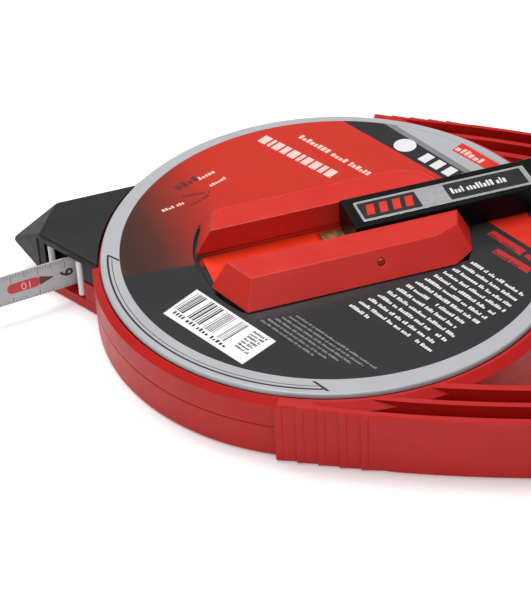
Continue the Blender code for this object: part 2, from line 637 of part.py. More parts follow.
def build_knob(knob_axis):
    low = ARM_HIGH + KNOB_LIFT
    bore = SPINDLE_RADIUS + GAP
    seat = KNOB_TOP - CAP_DEPTH
    profile = [(7.0, KNOB_TOP), (9.0, KNOB_TOP - 0.8), (KNOB_RADIUS, KNOB_TOP - 3.0),
               (KNOB_RADIUS - 1.2, KNOB_TOP - 9.0), (KNOB_RADIUS - 2.2, low + 3.0),
               (KNOB_RADIUS - 2.5, low + 0.8), (KNOB_RADIUS - 3.3, low), (bore, low),
               (bore, seat), (CAP_RADIUS + GAP, seat), (CAP_RADIUS + GAP, KNOB_TOP)]
    knob = turned("knob", profile, parent=knob_axis, steps=32)
    finish(knob, BLACK, 0.4)
    cap = turned("knob_cap", rod_profile(CAP_RADIUS, seat + GAP, KNOB_TOP), parent=knob_axis, steps=32)
    finish(cap, RED, 0.3)


# ---- tape, end clip and ring -------------------------------------------------------------
def build_tape():
    path = axis_empty("tape_path", (MOUTH[0], MOUTH[1], MID_Z), turn=TAPE_ANGLE)
    half = TAPE_WIDTH / 2
    blade = block("tape_blade", (-TAPE_TAIL, -TAPE_THICK / 2, -half), (TAPE_FREE, TAPE_THICK / 2, half),
                  parent=path)
    clip_high = TAPE_FREE + CLIP_AHEAD
    clip_low = clip_high - CLIP_LENGTH
    plate = TAPE_THICK / 2 + GAP + CLIP_PLATE
    clip = block("end_clip", (clip_low, -plate, -half - CLIP_PROUD), (clip_high, plate, half + CLIP_PROUD),
                 parent=path)
    ring_x = clip_high + BARREL_AHEAD
    barrel = rod("clip_barrel", BARREL_RADIUS, -BARREL_HALF, BARREL_HALF, (ring_x, 0.0), cutters, path,
                 steps=24)
    cut(clip, barrel, operation="UNION")
    slit = block("clip_slit", (clip_low - 2, -TAPE_THICK / 2 - GAP, -20),
                 (TAPE_FREE + GAP, TAPE_THICK / 2 + GAP, 20), cutters, path)
    wire_way = rod("clip_wire_way", RING_WIRE + GAP, -20, 20, (ring_x, 0.0), cutters, path, steps=24)
    cut(clip, slit, wire_way)
    head = plate + CLIP_PROUD
    for index, height in enumerate((RIVET_SPREAD, -RIVET_SPREAD), 1):
        spot = (TAPE_FREE - RIVET_BACK, height)
        hole = cross_rod("rivet_way_%d" % index, RIVET_RADIUS + GAP, -5, 5, spot, cutters, path, steps=16)
        cut(clip, hole)
        cut(blade, hole)
        rivet = cross_rod("clip_rivet_%d" % index, RIVET_RADIUS, -head, head, spot, parent=path, steps=16)
        finish(rivet, (0.6, 0.6, 0.6), 0.3, 1.0)
    finish(blade, (0.6, 0.6, 0.58), 0.5)
    finish(clip, (0.6, 0.6, 0.62), 0.3, 1.0)
    build_ring(axis_empty("ring_axis", (ring_x, 0.0, 0.0), path))


def build_ring(ring_axis):
    """Wire loop whose straight leg turns inside the clip's barrel."""
    half = RING_HALF
    corner = RING_CORNER
    points = [(0.0, -half + corner), (0.0, half - corner)]
    points += arc(corner, math.pi, math.pi / 2, 4, (corner, half - corner))[1:]
    points += arc(half, math.pi / 2, -math.pi / 2, 12, (RING_LENGTH - half, 0.0))
    points += arc(corner, -math.pi / 2, -math.pi, 4, (corner, -half + corner))[:-1]
    curve = bpy.data.curves.new("end_ring", "CURVE")
    curve.dimensions = "3D"
    curve.bevel_depth = RING_WIRE * MM
    curve.bevel_resolution = 2
    spline = curve.splines.new("POLY")
    spline.points.add(len(points) - 1)
    for point, (x, z) in zip(spline.points, points):
        point.co = (x * MM, 0.0, z * MM, 1.0)
    spline.use_cyclic_u = True
    ring = bpy.data.objects.new("end_ring", curve)
    parts.objects.link(ring)
    ring.parent = ring_axis
    curve.materials.append(material("end_ring", (0.6, 0.6, 0.62), 0.25, 1.0))


build_case()
build_nose()
build_crank(build_reel())
build_tape()
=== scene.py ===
import json
import math
import random

import bmesh
import bpy
from mathutils import Matrix, Vector


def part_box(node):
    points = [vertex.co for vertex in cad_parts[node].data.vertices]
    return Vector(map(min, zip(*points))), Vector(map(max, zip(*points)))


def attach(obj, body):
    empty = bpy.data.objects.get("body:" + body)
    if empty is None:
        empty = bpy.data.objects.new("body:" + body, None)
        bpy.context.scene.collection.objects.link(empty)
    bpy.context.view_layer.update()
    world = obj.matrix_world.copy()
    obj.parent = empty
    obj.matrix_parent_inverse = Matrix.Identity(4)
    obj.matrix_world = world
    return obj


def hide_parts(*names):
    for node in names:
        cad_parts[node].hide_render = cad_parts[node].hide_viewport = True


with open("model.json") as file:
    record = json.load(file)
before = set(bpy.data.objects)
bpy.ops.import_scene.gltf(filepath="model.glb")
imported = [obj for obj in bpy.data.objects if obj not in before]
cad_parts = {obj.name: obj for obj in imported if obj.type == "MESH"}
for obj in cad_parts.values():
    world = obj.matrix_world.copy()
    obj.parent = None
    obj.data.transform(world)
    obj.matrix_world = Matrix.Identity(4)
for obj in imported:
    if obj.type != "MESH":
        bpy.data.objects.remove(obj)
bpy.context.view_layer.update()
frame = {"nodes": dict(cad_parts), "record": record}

MM = 0.001
GAP = 0.3


# ---- places and sizes, from the frame (millimetres) ---------------------------------------
def extent(node):
    low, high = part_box(node)
    return [value / MM for value in low], [value / MM for value in high]


joints = {joint["name"]: joint for joint in frame["record"]["behaviour"]["joints"]}
fold_axis = joints["crank_fold"]["axis"]
CRANK_HEADING = math.atan2(fold_axis[0], -fold_axis[1])
FOLD_PIN = [value / MM for value in joints["crank_fold"]["pos_m"]]
KNOB_AXIS = [value / MM for value in joints["knob_spin"]["pos_m"]]
pull = joints["tape_pull"]["axis"]
TAPE_ANGLE = math.atan2(pull[1], pull[0])
RING_PIN = [value / MM for value in joints["ring_swing"]["pos_m"]]

disc_low, disc_high = extent("side_disc")
DISC_RADIUS = (disc_high[0] - disc_low[0]) / 2
DISC_LOW, DISC_TOP = disc_low[2], disc_high[2]
label_low, label_high = extent("face_label")
LABEL_CENTRE = ((label_low[0] + label_high[0]) / 2, (label_low[1] + label_high[1]) / 2)
LABEL_RADIUS = (label_high[0] - label_low[0]) / 2
LABEL_LOW = label_low[2]
upper_low, upper_high = extent("upper_shell")
PART_LOW, PART_HIGH = extent("lower_shell")[1][2], upper_low[2]
CASE_TOP = upper_high[2]
HANDLE_END = upper_high[0]
cap_low, cap_high = extent("nose_cap")
NOSE_TIP = (cap_low[0], -0.8)            # the beak points a little to the near side
NOSE_TOP = cap_high[2]
LIP_TOP = cap_low[2] - GAP
blade_low, blade_high = extent("tape_blade")
TAPE_HALF = (blade_high[2] - blade_low[2]) / 2
MID_Z = (blade_high[2] + blade_low[2]) / 2
cheek_low, cheek_high = extent("cheek_near")
CHEEK_LOW, CHEEK_TOP = cheek_low[2], cheek_high[2]
arm_low, arm_high = extent("crank_arm")
ARM_LOW, ARM_HIGH = arm_low[2] - FOLD_PIN[2], arm_high[2] - FOLD_PIN[2]
knob_low, knob_high = extent("knob")
KNOB_LOW, KNOB_TOP = knob_low[2] - FOLD_PIN[2], knob_high[2] - FOLD_PIN[2]
KNOB_RADIUS = (knob_high[0] - knob_low[0]) / 2
KNOB_REACH = math.hypot(KNOB_AXIS[0] - FOLD_PIN[0], KNOB_AXIS[1] - FOLD_PIN[1])
HUB_LOW = extent("hub_block")[0][2]

# proportions the frame doesn't state
CUT_LOW, CUT_HIGH = -5.0, 30.0           # cutters that pass right through the case
CASE_RADIUS = 83.0
SEAM_CLOSE = 0.14
MOAT_WIDTH, MOAT_LOW = 0.6, 21.6
CAVITY_RADIUS = 78.0
FLOOR = 2.5
LEDGE_LOW, LEDGE_HIGH, LEDGE_RADIUS = 20.8, 23.0, 71.0
RIM_CHAMFER, RAIL_CHAMFER = 2.2, 0.8
RAIL_RADIUS, RAIL_CENTRE = 430.0, (8.0, -344.9)
HANDLE_CORNER = 28.0
BAR_INNER, OPENING_CORNER = 123.0, 12.0
BAND_RADIUS, BAND_TOP_RADIUS = 84.6, 81.6
RAIL_DEPTH = 18.3
POCKETS = ((2.4, 8.0), (10.0, 15.8))
POCKET_END = 106.0
WEB_HALF = 2.5
RIDGES, RIDGE_PITCH, RIDGE_START = 5, 6.9, -1.0
RIDGE_PROUD, RIDGE_SUNK = 0.45, 0.25
GROOVE_PLACE, GROOVE_HALF, GROOVE_DEPTH = 2.4, 0.3, 0.02
NOSE_FRONT, NOSE_BASE = -102.5, -74.0
NOSE_NEAR, NOSE_FAR = (11.3, 26.8), (9.2, 26.8)
NOSE_WALL_RADIUS = 80.9
MOUTH = (-92.4, -16.8)
MOUTH_AHEAD, MOUTH_BEHIND, MOUTH_DEPTH, MOUTH_TOP = 10.7, 8.9, 7.0, 20.0
BROW_LOW, BROW_DEPTH = 21.1, 0.6
SHOULDER = 9.0
GATE_HALF, GATE_CLEAR = 3.5, 0.8         # passage for the tape: half width, room above and below it
BLADE_HALF, BLADE_TAIL = 0.25, 32.0      # half thickness of the blade, and its length inside the nose
PLATE = BLADE_HALF + GAP + 0.6           # outside of a clip plate
CLIP_BACK, CLIP_AHEAD = 10.0, 3.0        # clip behind and ahead of the end of the blade
BARREL_RADIUS, BARREL_HALF, BARREL_AHEAD = 2.4, 4.5, 4.4
RIVET_BACK, RIVET_HEIGHTS = 5.0, (3.2, -3.2)
RING_HALF, RING_CORNER, RING_LENGTH, RING_WIRE = 6.6, 2.5, 17.0, 1.0
HUB_RADIUS, HUB_HALF, HUB_GAP = 46.0, 26.0, 2.0
HUB_BASE_RADIUS = 62.0
SLOT_HALF, SLOT_FLOOR = 9.45, 23.5
ARM_HALF, ARM_INNER = 8.75, -3.6
INLAY_SUNK = 0.25                        # inlay below the top of the arm
INLAY_START, INLAY_END, INLAY_HALF = 0.2, 64.0, 6.0
PIN_RADIUS, PIN_END, SPINDLE_RADIUS = 2.0, 1.2, 2.5

TURN = Matrix.Rotation(CRANK_HEADING, 4, "Z")
REEL = TURN
CRANK = Matrix.Translation([value * MM for value in FOLD_PIN]) @ TURN
PIN_U = (REEL.inverted() @ Vector(FOLD_PIN))[0]
TAPE = (Matrix.Translation((MOUTH[0] * MM, MOUTH[1] * MM, MID_Z * MM))
        @ Matrix.Rotation(TAPE_ANGLE, 4, "Z"))
HERE = Matrix.Identity(4)


# ---- mesh helpers --------------------------------------------------------------------------
def polar(radius, angle, centre=(0.0, 0.0)):
    return (centre[0] + radius * math.cos(angle), centre[1] + radius * math.sin(angle))


def arc(radius, start, stop, count, centre=(0.0, 0.0)):
    return [polar(radius, start + (stop - start) * i / count, centre) for i in range(count + 1)]


def flipped(points):
    return [(x, -y) for x, y in reversed(points)]


def linked(name, data):
    made = bpy.data.objects.new(name, data)
    bpy.context.scene.collection.objects.link(made)
    return made


def settled(source):
    """Mesh of an object as its modifiers or curve settings leave it."""
    bpy.context.view_layer.update()
    return bpy.data.meshes.new_from_object(source.evaluated_get(bpy.context.evaluated_depsgraph_get()))


def place(name, shape, matrix=HERE):
    """New mesh object from a bmesh in the millimetres of a local frame."""
    bmesh.ops.scale(shape, vec=(MM, MM, MM), verts=shape.verts)
    bmesh.ops.transform(shape, matrix=matrix, verts=shape.verts)
    bmesh.ops.recalc_face_normals(shape, faces=shape.faces)
    mesh = bpy.data.meshes.new(name)
    shape.to_mesh(mesh)
    shape.free()
    return linked(name, mesh)


def loft_into(shape, levels):
    rings = [[shape.verts.new((x, y, height)) for x, y in outline] for outline, height in levels]
    shape.faces.new(rings[0])
    shape.faces.new(rings[-1])
    for lower, upper in zip(rings, rings[1:]):
        for i in range(len(lower)):
            j = (i + 1) % len(lower)
            shape.faces.new((lower[i], lower[j], upper[j], upper[i]))


def loft(name, levels, matrix=HERE):
    shape = bmesh.new()
    loft_into(shape, levels)
    return place(name, shape, matrix)


def slab(name, outline, low, high, matrix=HERE):
    return loft(name, [(outline, low), (outline, high)], matrix)


def slabs(name, outlines, low, high, matrix=HERE):
    """Many small flat pieces in one mesh, as one printing."""
    shape = bmesh.new()
    for outline in outlines:
        loft_into(shape, [(outline, low), (outline, high)])
    return place(name, shape, matrix)


def rod(name, radius, low, high, centre=(0.0, 0.0), matrix=HERE, steps=48):
    return slab(name, arc(radius, 0.0, 2 * math.pi * (1 - 1 / steps), steps - 1, centre), low, high, matrix)


def cross_rod(name, radius, start, stop, centre, matrix=HERE, steps=32):
    """Cylinder along local Y through centre (x, z)."""
    swing = Matrix.Translation((centre[0] * MM, 0.0, centre[1] * MM)) @ Matrix.Rotation(-math.pi / 2, 4, "X")
    return rod(name, radius, start, stop, (0.0, 0.0), matrix @ swing, steps)


def block(name, low, high, matrix=HERE):
    outline = [(low[0], low[1]), (high[0], low[1]), (high[0], high[1]), (low[0], high[1])]
    return slab(name, outline, low[2], high[2], matrix)


def hull(name, points, matrix=HERE):
    shape = bmesh.new()
    for point in points:
        shape.verts.new(point)
    found = bmesh.ops.convex_hull(shape, input=shape.verts)
    bmesh.ops.delete(shape, geom=found["geom_interior"], context="VERTS")
    bmesh.ops.dissolve_limit(shape, angle_limit=0.01, verts=shape.verts, edges=shape.edges)
    return place(name, shape, matrix)


def turned(name, profile, matrix=HERE, steps=96):
    """Solid of revolution about local Z; the closed profile lists (radius, height)."""
    shape = bmesh.new()
    rings = []
    for radius, height in profile:
        if radius == 0.0:
            rings.append([shape.verts.new((0.0, 0.0, height))])
        else:
            corners = [polar(radius, 2 * math.pi * i / steps) for i in range(steps)]
            rings.append([shape.verts.new((x, y, height)) for x, y in corners])
    for a, b in zip(rings, rings[1:] + rings[:1]):
        for i in range(steps):
            j = (i + 1) % steps
            corners = [a[i % len(a)], a[j % len(a)], b[j % len(b)], b[i % len(b)]]
            unique = list(dict.fromkeys(corners))
            if len(unique) > 2:
                shape.faces.new(unique)
    return place(name, shape, matrix)


def boolean(piece, operation, tools):
    for tool in tools:
        step = piece.modifiers.new("Shape", "BOOLEAN")
        step.operation = operation
        step.solver = "EXACT"
        step.object = tool


def bake(piece, soft=0.0, segments=2, angle=35.0):
    """Applies the booleans, rounds the edges and shades the result smooth."""
    cutters = [step.object for step in piece.modifiers if step.type == "BOOLEAN"]
    if soft:
        bevel = piece.modifiers.new("Edges", "BEVEL")
        bevel.width = soft * MM
        bevel.segments = segments
        bevel.limit_method = "ANGLE"
        bevel.angle_limit = math.radians(angle)
        bevel.miter_outer = "MITER_ARC"
    mesh = settled(piece)
    piece.modifiers.clear()
    piece.data = mesh
    for tool in cutters:
        if tool.name in bpy.data.objects:
            bpy.data.objects.remove(tool, do_unlink=True)
    mesh.shade_smooth()
    mesh.set_sharp_from_angle(angle=math.radians(angle))
    weighted = piece.modifiers.new("Normals", "WEIGHTED_NORMAL")
    weighted.keep_sharp = True
    return piece


def dress(piece, look, body, slot, *nodes):
    """Gives a piece its material and body, and hides the CAD nodes it stands for; the slot is not used."""
    piece.data.materials.clear()
    piece.data.materials.append(look)
    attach(piece, body)
    if nodes:
        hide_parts(*nodes)
    return piece


# ---- materials -----------------------------------------------------------------------------
def srgb(red, green, blue):
    def linear(value):
        value /= 255
        return value / 12.92 if value <= 0.04045 else ((value + 0.055) / 1.055) ** 2.4
    return (linear(red), linear(green), linear(blue), 1.0)


def base_material(name, colour, roughness, metallic=0.0, coat=0.0, specular=0.4):
    made = bpy.data.materials.new(name)
    made.use_nodes = True
    tree = made.node_tree
    shader = tree.nodes["Principled BSDF"]
    shader.inputs["Base Color"].default_value = colour
    shader.inputs["Roughness"].default_value = roughness
    shader.inputs["Metallic"].default_value = metallic
    shader.inputs["Specular IOR Level"].default_value = specular
    shader.inputs["Coat Weight"].default_value = coat
    shader.inputs["Coat Roughness"].default_value = 0.12
    return made, tree, shader


def node(tree, kind, **values):
    made = tree.nodes.new(kind)
    for key, value in values.items():
        setattr(made, key, value)
    return made


def noise_of(tree, scale, detail=4.0):
    place_of = node(tree, "ShaderNodeTexCoord")
    noise = node(tree, "ShaderNodeTexNoise")
    noise.inputs["Scale"].default_value = scale
    noise.inputs["Detail"].default_value = detail
    tree.links.new(place_of.outputs["Object"], noise.inputs["Vector"])
    return noise


def vary_roughness(tree, shader, low, high, scale=220.0):
    noise = noise_of(tree, scale)
    span = node(tree, "ShaderNodeMapRange")
    span.inputs["From Min"].default_value = 0.3
    span.inputs["From Max"].default_value = 0.7
    span.inputs["To Min"].default_value = low
    span.inputs["To Max"].default_value = high
    tree.links.new(noise.outputs["Fac"], span.inputs["Value"])
    tree.links.new(span.outputs["Result"], shader.inputs["Roughness"])


def grain(tree, shader, scale, strength, distance=0.0001):
    noise = noise_of(tree, scale, 2.0)
    bump = node(tree, "ShaderNodeBump")
    bump.inputs["Strength"].default_value = strength
    bump.inputs["Distance"].default_value = distance
    tree.links.new(noise.outputs["Fac"], bump.inputs["Height"])
    tree.links.new(bump.outputs["Normal"], shader.inputs["Normal"])


def tint(tree, shader, first, second, scale=60.0):
    noise = noise_of(tree, scale, 3.0)
    ramp = node(tree, "ShaderNodeValToRGB")
    ramp.color_ramp.elements[0].position = 0.35
    ramp.color_ramp.elements[1].position = 0.65
    ramp.color_ramp.elements[0].color = first
    ramp.color_ramp.elements[1].color = second
    tree.links.new(noise.outputs["Fac"], ramp.inputs["Fac"])
    tree.links.new(ramp.outputs["Color"], shader.inputs["Base Color"])


def plastic(name, first, second, low, high, bump=0.25, coat=0.0, specular=0.4):
    made, tree, shader = base_material(name, first, low, coat=coat, specular=specular)
    tint(tree, shader, first, second)
    vary_roughness(tree, shader, low, high)
    if bump:
        grain(tree, shader, 2600.0, bump, 0.00004)
    return made


def printed(name, first, second, low=0.35, high=0.45):
    return plastic("ink_" + name, srgb(*first), srgb(*second), low, high, 0.0)


def metal(name, colour, low, high, metallic=1.0):
    made, tree, shader = base_material(name, colour, low, metallic)
    vary_roughness(tree, shader, low, high, 500.0)
    return made


CASE_RED = plastic("case_red", srgb(177, 28, 25), srgb(171, 25, 23), 0.36, 0.46, specular=0.22)
CHEEK_RED = plastic("cheek_red", srgb(196, 44, 36), srgb(190, 40, 33), 0.3, 0.38, 0.12, specular=0.25)
NOSE_BLACK = plastic("nose_black", srgb(31, 31, 33), srgb(26, 26, 29), 0.42, 0.52, specular=0.26)
ARM_BLACK = plastic("arm_black", srgb(8, 8, 9), srgb(6, 6, 7), 0.26, 0.36, 0.1, specular=0.16)
KNOB_BLACK = plastic("knob_black", srgb(26, 26, 28), srgb(22, 22, 24), 0.45, 0.6, 0.5)
REEL_RED = plastic("reel_red", srgb(150, 28, 28), srgb(145, 26, 26), 0.4, 0.5)
REEL_BLACK = plastic("reel_black", srgb(18, 18, 19), srgb(15, 15, 16), 0.5, 0.6)
GUIDE_WHITE = plastic("guide_white", srgb(226, 226, 222), srgb(218, 218, 214), 0.25, 0.35, 0.0)
STEEL = metal("steel", srgb(180, 181, 184), 0.22, 0.36)
CLIP_STEEL = metal("clip_steel", srgb(200, 200, 203), 0.12, 0.24)
BRASS = metal("brass", srgb(176, 150, 104), 0.3, 0.45)
PIN_METAL = metal("pin_metal", srgb(165, 62, 46), 0.4, 0.55, 0.3)
DISC_SILVER = plastic("disc_silver", srgb(167, 168, 172), srgb(162, 163, 167), 0.28, 0.36, 0.0)
INK_WHITE = printed("white", (214, 214, 214), (208, 208, 208))
INK_GREY = printed("grey", (132, 132, 134), (126, 126, 128))
INK_PINK = printed("pink", (240, 190, 180), (236, 182, 172))
# Black ink for print; also used as painted shade in the gap around the hub.
INK_BLACK_AND_PAINTED_SHADE = printed("black", (26, 26, 27), (22, 22, 23))
INK_RED = printed("red", (205, 42, 24), (200, 39, 22), 0.3, 0.4)
# Red print for the slot floor, brighter than the label film as painted light for the shaded floor.
INK_SLOT_PAINTED_LIGHT = printed("slot", (226, 52, 20), (220, 48, 18), 0.3, 0.4)
INK_DEEP_RED = printed("deep_red", (176, 38, 40), (170, 35, 37), 0.3, 0.4)
INK_MAROON = printed("maroon", (92, 24, 30), (86, 20, 26))
STICKER = plastic("sticker_white", srgb(228, 228, 229), srgb(222, 222, 224), 0.35, 0.45, 0.0)
INLAY = metal("inlay_silver", srgb(212, 212, 216), 0.2, 0.3, 0.75)


def dot_of(tree, position, direction, offset):
    """Signed distance of the position from a line, in metres."""
    dot = node(tree, "ShaderNodeVectorMath", operation="DOT_PRODUCT")
    dot.inputs[1].default_value = (direction[0], direction[1], 0.0)
    tree.links.new(position, dot.inputs[0])
    shift = node(tree, "ShaderNodeMath", operation="SUBTRACT")
    shift.inputs[1].default_value = offset
    tree.links.new(dot.outputs["Value"], shift.inputs[0])
    return shift.outputs[0]


def side_of(tree, position, first, second, width=0.00008):
    """1 on the left of the line from first to second (millimetres), 0 on its right."""
    run = Vector(second) - Vector(first)
    run.normalize()
    left = (-run.y, run.x)
    offset = (left[0] * first[0] + left[1] * first[1]) * MM
    ramp = node(tree, "ShaderNodeMapRange")
    ramp.inputs["From Min"].default_value = -width
    ramp.inputs["From Max"].default_value = width
    tree.links.new(dot_of(tree, position, left, offset), ramp.inputs["Value"])
    return ramp.outputs["Result"]


def layer(tree, below, above, mask):
    mix = node(tree, "ShaderNodeMix", data_type="RGBA")
    tree.links.new(mask, mix.inputs["Factor"])
    if isinstance(below, tuple):
        mix.inputs["A"].default_value = below
    else:
        tree.links.new(below, mix.inputs[6])
    if isinstance(above, tuple):
        mix.inputs[7].default_value = above
    else:
        tree.links.new(above, mix.inputs[7])
    return mix.outputs[2]


def product(tree, first, second):
    times = node(tree, "ShaderNodeMath", operation="MULTIPLY")
    tree.links.new(first, times.inputs[0])
    tree.links.new(second, times.inputs[1])
    return times.outputs[0]


PRINT_EDGE = ((-65.5, -31.3), (-11.3, -4.0))       # dark half below, red half above
STRIP_INNER = ((-10.3, 75.0), (30.4, 46.0))
STRIP_OUTER = ((7.0, 74.4), (41.0, 47.8))


def printed_film(name):
    """Glossy film: red fading to brown at the nose end, dark below, strips at the far right."""
    made, tree, shader = base_material(name, srgb(187, 43, 28), 0.22, specular=0.35)
    position = node(tree, "ShaderNodeTexCoord").outputs["Object"]
    fade = node(tree, "ShaderNodeValToRGB")
    stops = fade.color_ramp.elements
    stops[0].position, stops[0].color = 0.0, srgb(60, 37, 29)
    stops[1].position, stops[1].color = 1.0, srgb(187, 43, 28)
    for spot, colour in ((0.22, srgb(80, 37, 29)), (0.5, srgb(140, 38, 28)), (0.75, srgb(178, 41, 28))):
        stop = stops.new(spot)
        stop.color = colour
    reach = node(tree, "ShaderNodeMapRange")
    reach.inputs["From Min"].default_value = -0.066
    reach.inputs["From Max"].default_value = -0.018
    tree.links.new(dot_of(tree, position, (0.84, 0.54), 0.0), reach.inputs["Value"])
    tree.links.new(reach.outputs["Result"], fade.inputs["Fac"])
    dark = side_of(tree, position, PRINT_EDGE[1], PRINT_EDGE[0], 0.0004)
    colour = layer(tree, fade.outputs["Color"], srgb(41, 41, 43), dark)
    above_crank = side_of(tree, position, (0.0, 0.0), polar(10.0, CRANK_HEADING))
    inner = side_of(tree, position, *STRIP_INNER)
    outer = side_of(tree, position, *STRIP_OUTER)
    run = (Vector(STRIP_OUTER[1]) - Vector(STRIP_OUTER[0])).normalized()
    step = Vector((-run.y, run.x)) * 2.4
    silver_line = [tuple(Vector(point) + step) for point in STRIP_OUTER]
    silver = side_of(tree, position, *silver_line)
    for shade, strip in (((38, 38, 41), inner), ((120, 121, 124), outer), ((165, 166, 170), silver)):
        colour = layer(tree, colour, srgb(*shade), product(tree, above_crank, strip))
    tree.links.new(colour, shader.inputs["Base Color"])
    vary_roughness(tree, shader, 0.2, 0.28, 90.0)
    return made


LABEL_FILM = printed_film("label_print")


# ---- outlines of the case -------------------------------------------------------------------
def rail_angle(x, radius):
    return math.acos((x - RAIL_CENTRE[0]) / radius)


def rail_corner(radius, depth, end):
    x = end - radius
    reach = RAIL_RADIUS - depth - radius
    angle = rail_angle(x, reach)
    return (x, RAIL_CENTRE[1] + reach * math.sin(angle)), angle


def case_outline(inset=0.0, rail_inset=None):
    if rail_inset is None:
        rail_inset = inset
    centre, join = rail_corner(HANDLE_CORNER, 0.0, HANDLE_END)
    upper = arc(HANDLE_CORNER - rail_inset, 0.0, join, 20, centre)
    radius = RAIL_RADIUS - rail_inset
    ridge_end = RIDGE_START + RIDGES * RIDGE_PITCH
    upper += arc(radius, join, rail_angle(ridge_end, radius), 24, RAIL_CENTRE)[1:-1]
    for i in reversed(range(RIDGES)):
        left = RIDGE_START + i * RIDGE_PITCH + rail_inset * (i == 0)
        right = RIDGE_START + (i + 1) * RIDGE_PITCH
        groove = left + GROOVE_PLACE
        for x, offset in ((right, -RIDGE_SUNK), (groove + GROOVE_HALF, 0.17), (groove, -GROOVE_DEPTH),
                          (groove - GROOVE_HALF, 0.24), (left, RIDGE_PROUD)):
            upper.append(polar(radius + offset, rail_angle(x, radius), RAIL_CENTRE))
    drum = CASE_RADIUS - inset
    start = math.acos((RIDGE_START + rail_inset) / drum)
    return upper + arc(drum, start, 2 * math.pi - start, 150) + flipped(upper)


def drum_meeting(radius, band):
    offset = math.hypot(*RAIL_CENTRE)
    cosine = (offset ** 2 + band ** 2 - radius ** 2) / (2 * offset * band)
    return math.atan2(RAIL_CENTRE[1], RAIL_CENTRE[0]) + math.acos(max(cosine, -0.99))


def opening_outline(band=BAND_RADIUS):
    centre, join = rail_corner(OPENING_CORNER, RAIL_DEPTH, BAR_INNER)
    upper = arc(OPENING_CORNER, 0.0, join, 14, centre)
    radius = RAIL_RADIUS - RAIL_DEPTH
    touch = drum_meeting(radius, band)
    far = rail_angle(band * math.cos(touch), radius)
    upper += arc(radius, join, far, 14, RAIL_CENTRE)[1:-1]
    return upper + arc(band, touch, -touch, 60) + flipped(upper)


def pocket_outline(outer_inset, inner_inset, band=BAND_RADIUS):
    outer, inner = RAIL_RADIUS - outer_inset, RAIL_RADIUS - inner_inset
    start, stop = drum_meeting(inner, band), drum_meeting(outer, band)
    near = arc(band, start, stop, 8)
    above = arc(outer, rail_angle(near[-1][0] + 0.5, outer), rail_angle(POCKET_END, outer), 12, RAIL_CENTRE)
    below = arc(inner, rail_angle(POCKET_END, inner), rail_angle(near[0][0], inner), 12, RAIL_CENTRE)
    return near + above + below[:-1]


def sloped_room(name, wide, narrow, low):
    """Cutter whose wall at the drum slopes just below the rim."""
    slope_low = CASE_TOP - RIM_CHAMFER
    return loft(name, [(wide, low), (wide, slope_low), (narrow, CASE_TOP), (narrow, CUT_HIGH)])


def seam_outline(inset):
    """Case outline with its seam chamfer on the drum only."""
    plain, cut_back = case_outline(), case_outline(inset)
    return [b if a[0] < RIDGE_START - 1.0 else a for a, b in zip(plain, cut_back)]


def nose_outline(grow=0.0):
    def side(reach):
        slope = (reach[1] - reach[0]) / (NOSE_BASE - NOSE_FRONT)
        shift = grow * math.hypot(1.0, slope)
        return reach[0] + shift - slope * grow, reach[1] + shift

    front = NOSE_FRONT - grow
    near, far = side(NOSE_NEAR), side(NOSE_FAR)
    return [(front, -near[0]), (NOSE_BASE, -near[1]), (NOSE_BASE, far[1]), (front, far[0])]


def gate(name, low, high):
    """Box cutter along the tape's path behind the mouth."""
    return block(name, (-BLADE_TAIL, -GATE_HALF, low - MID_Z), (2.0, GATE_HALF, high - MID_Z), TAPE)


GATE_LOW, GATE_HIGH = MID_Z - TAPE_HALF - GATE_CLEAR, MID_Z + TAPE_HALF + GATE_CLEAR


def nose_room(name, low, high):
    tool = slab(name, nose_outline(GAP), low, high)
    boolean(tool, "DIFFERENCE", [rod(name + "_drum", NOSE_WALL_RADIUS, low - 5, high + 5, steps=180)])
    return bake(tool)


def shoulder_box(name, grow):
    return block(name, (-60.0, -40.0, -5.0), (grow - SHOULDER, 10.0, PART_LOW + grow), MOUTH_FRAME)


# ---- case shells ----------------------------------------------------------------------------
SCREW_SPOTS = []
for index in range(1, 8):
    low, high = extent("case_screw_%d" % index)
    SCREW_SPOTS.append(((low[0] + high[0]) / 2, (low[1] + high[1]) / 2, (high[0] - low[0]) / 2))


def round_levels(bottom, radius, count=4):
    """Levels that round the bottom edge of an outline."""
    levels = []
    for i in range(count + 1):
        angle = math.pi / 2 * i / count
        levels.append((case_outline(radius * (1 - math.sin(angle))), bottom + radius * (1 - math.cos(angle))))
    return levels


def lower_shell():
    seam = PART_LOW + SEAM_CLOSE
    levels = round_levels(0.0, 1.2) + [(case_outline(), seam - 0.25), (seam_outline(0.25), seam)]
    shell = loft("lower_shell_fine", levels)
    boolean(shell, "DIFFERENCE", [nose_room("nose_room_low", LIP_TOP, PART_LOW + 1)])
    lip = loft("nose_lip", [(nose_outline(-0.5), 0.0), (nose_outline(), 0.5), (nose_outline(), LIP_TOP)])
    shoulder = slab("nose_shoulder", nose_outline(-0.1), LIP_TOP - 1.0, PART_LOW)
    boolean(shoulder, "INTERSECT", [shoulder_box("shoulder_low", 0.0)])
    boolean(shell, "UNION", [lip, bake(shoulder)])
    tools = [slab("opening_low", opening_outline(), CUT_LOW, CUT_HIGH)]
    tools.append(rod("hollow_low", CAVITY_RADIUS, FLOOR, PART_LOW + 1, steps=120))
    tools.append(gate("gate_low", GATE_LOW, PART_LOW + 1))
    for inset in POCKETS:
        outline = pocket_outline(*inset)
        tools += [slab("pocket_low", side, -1.0, MID_Z - WEB_HALF) for side in (outline, flipped(outline))]
    for x, y, radius in SCREW_SPOTS:
        tools.append(rod("screw_seat", radius + GAP, -1.0, 2.2, (x, y), steps=32))
    boolean(shell, "DIFFERENCE", tools)
    bake(shell, 0.45, 3, 40.0)
    dress(shell, CASE_RED, "case", "case_red", "lower_shell")


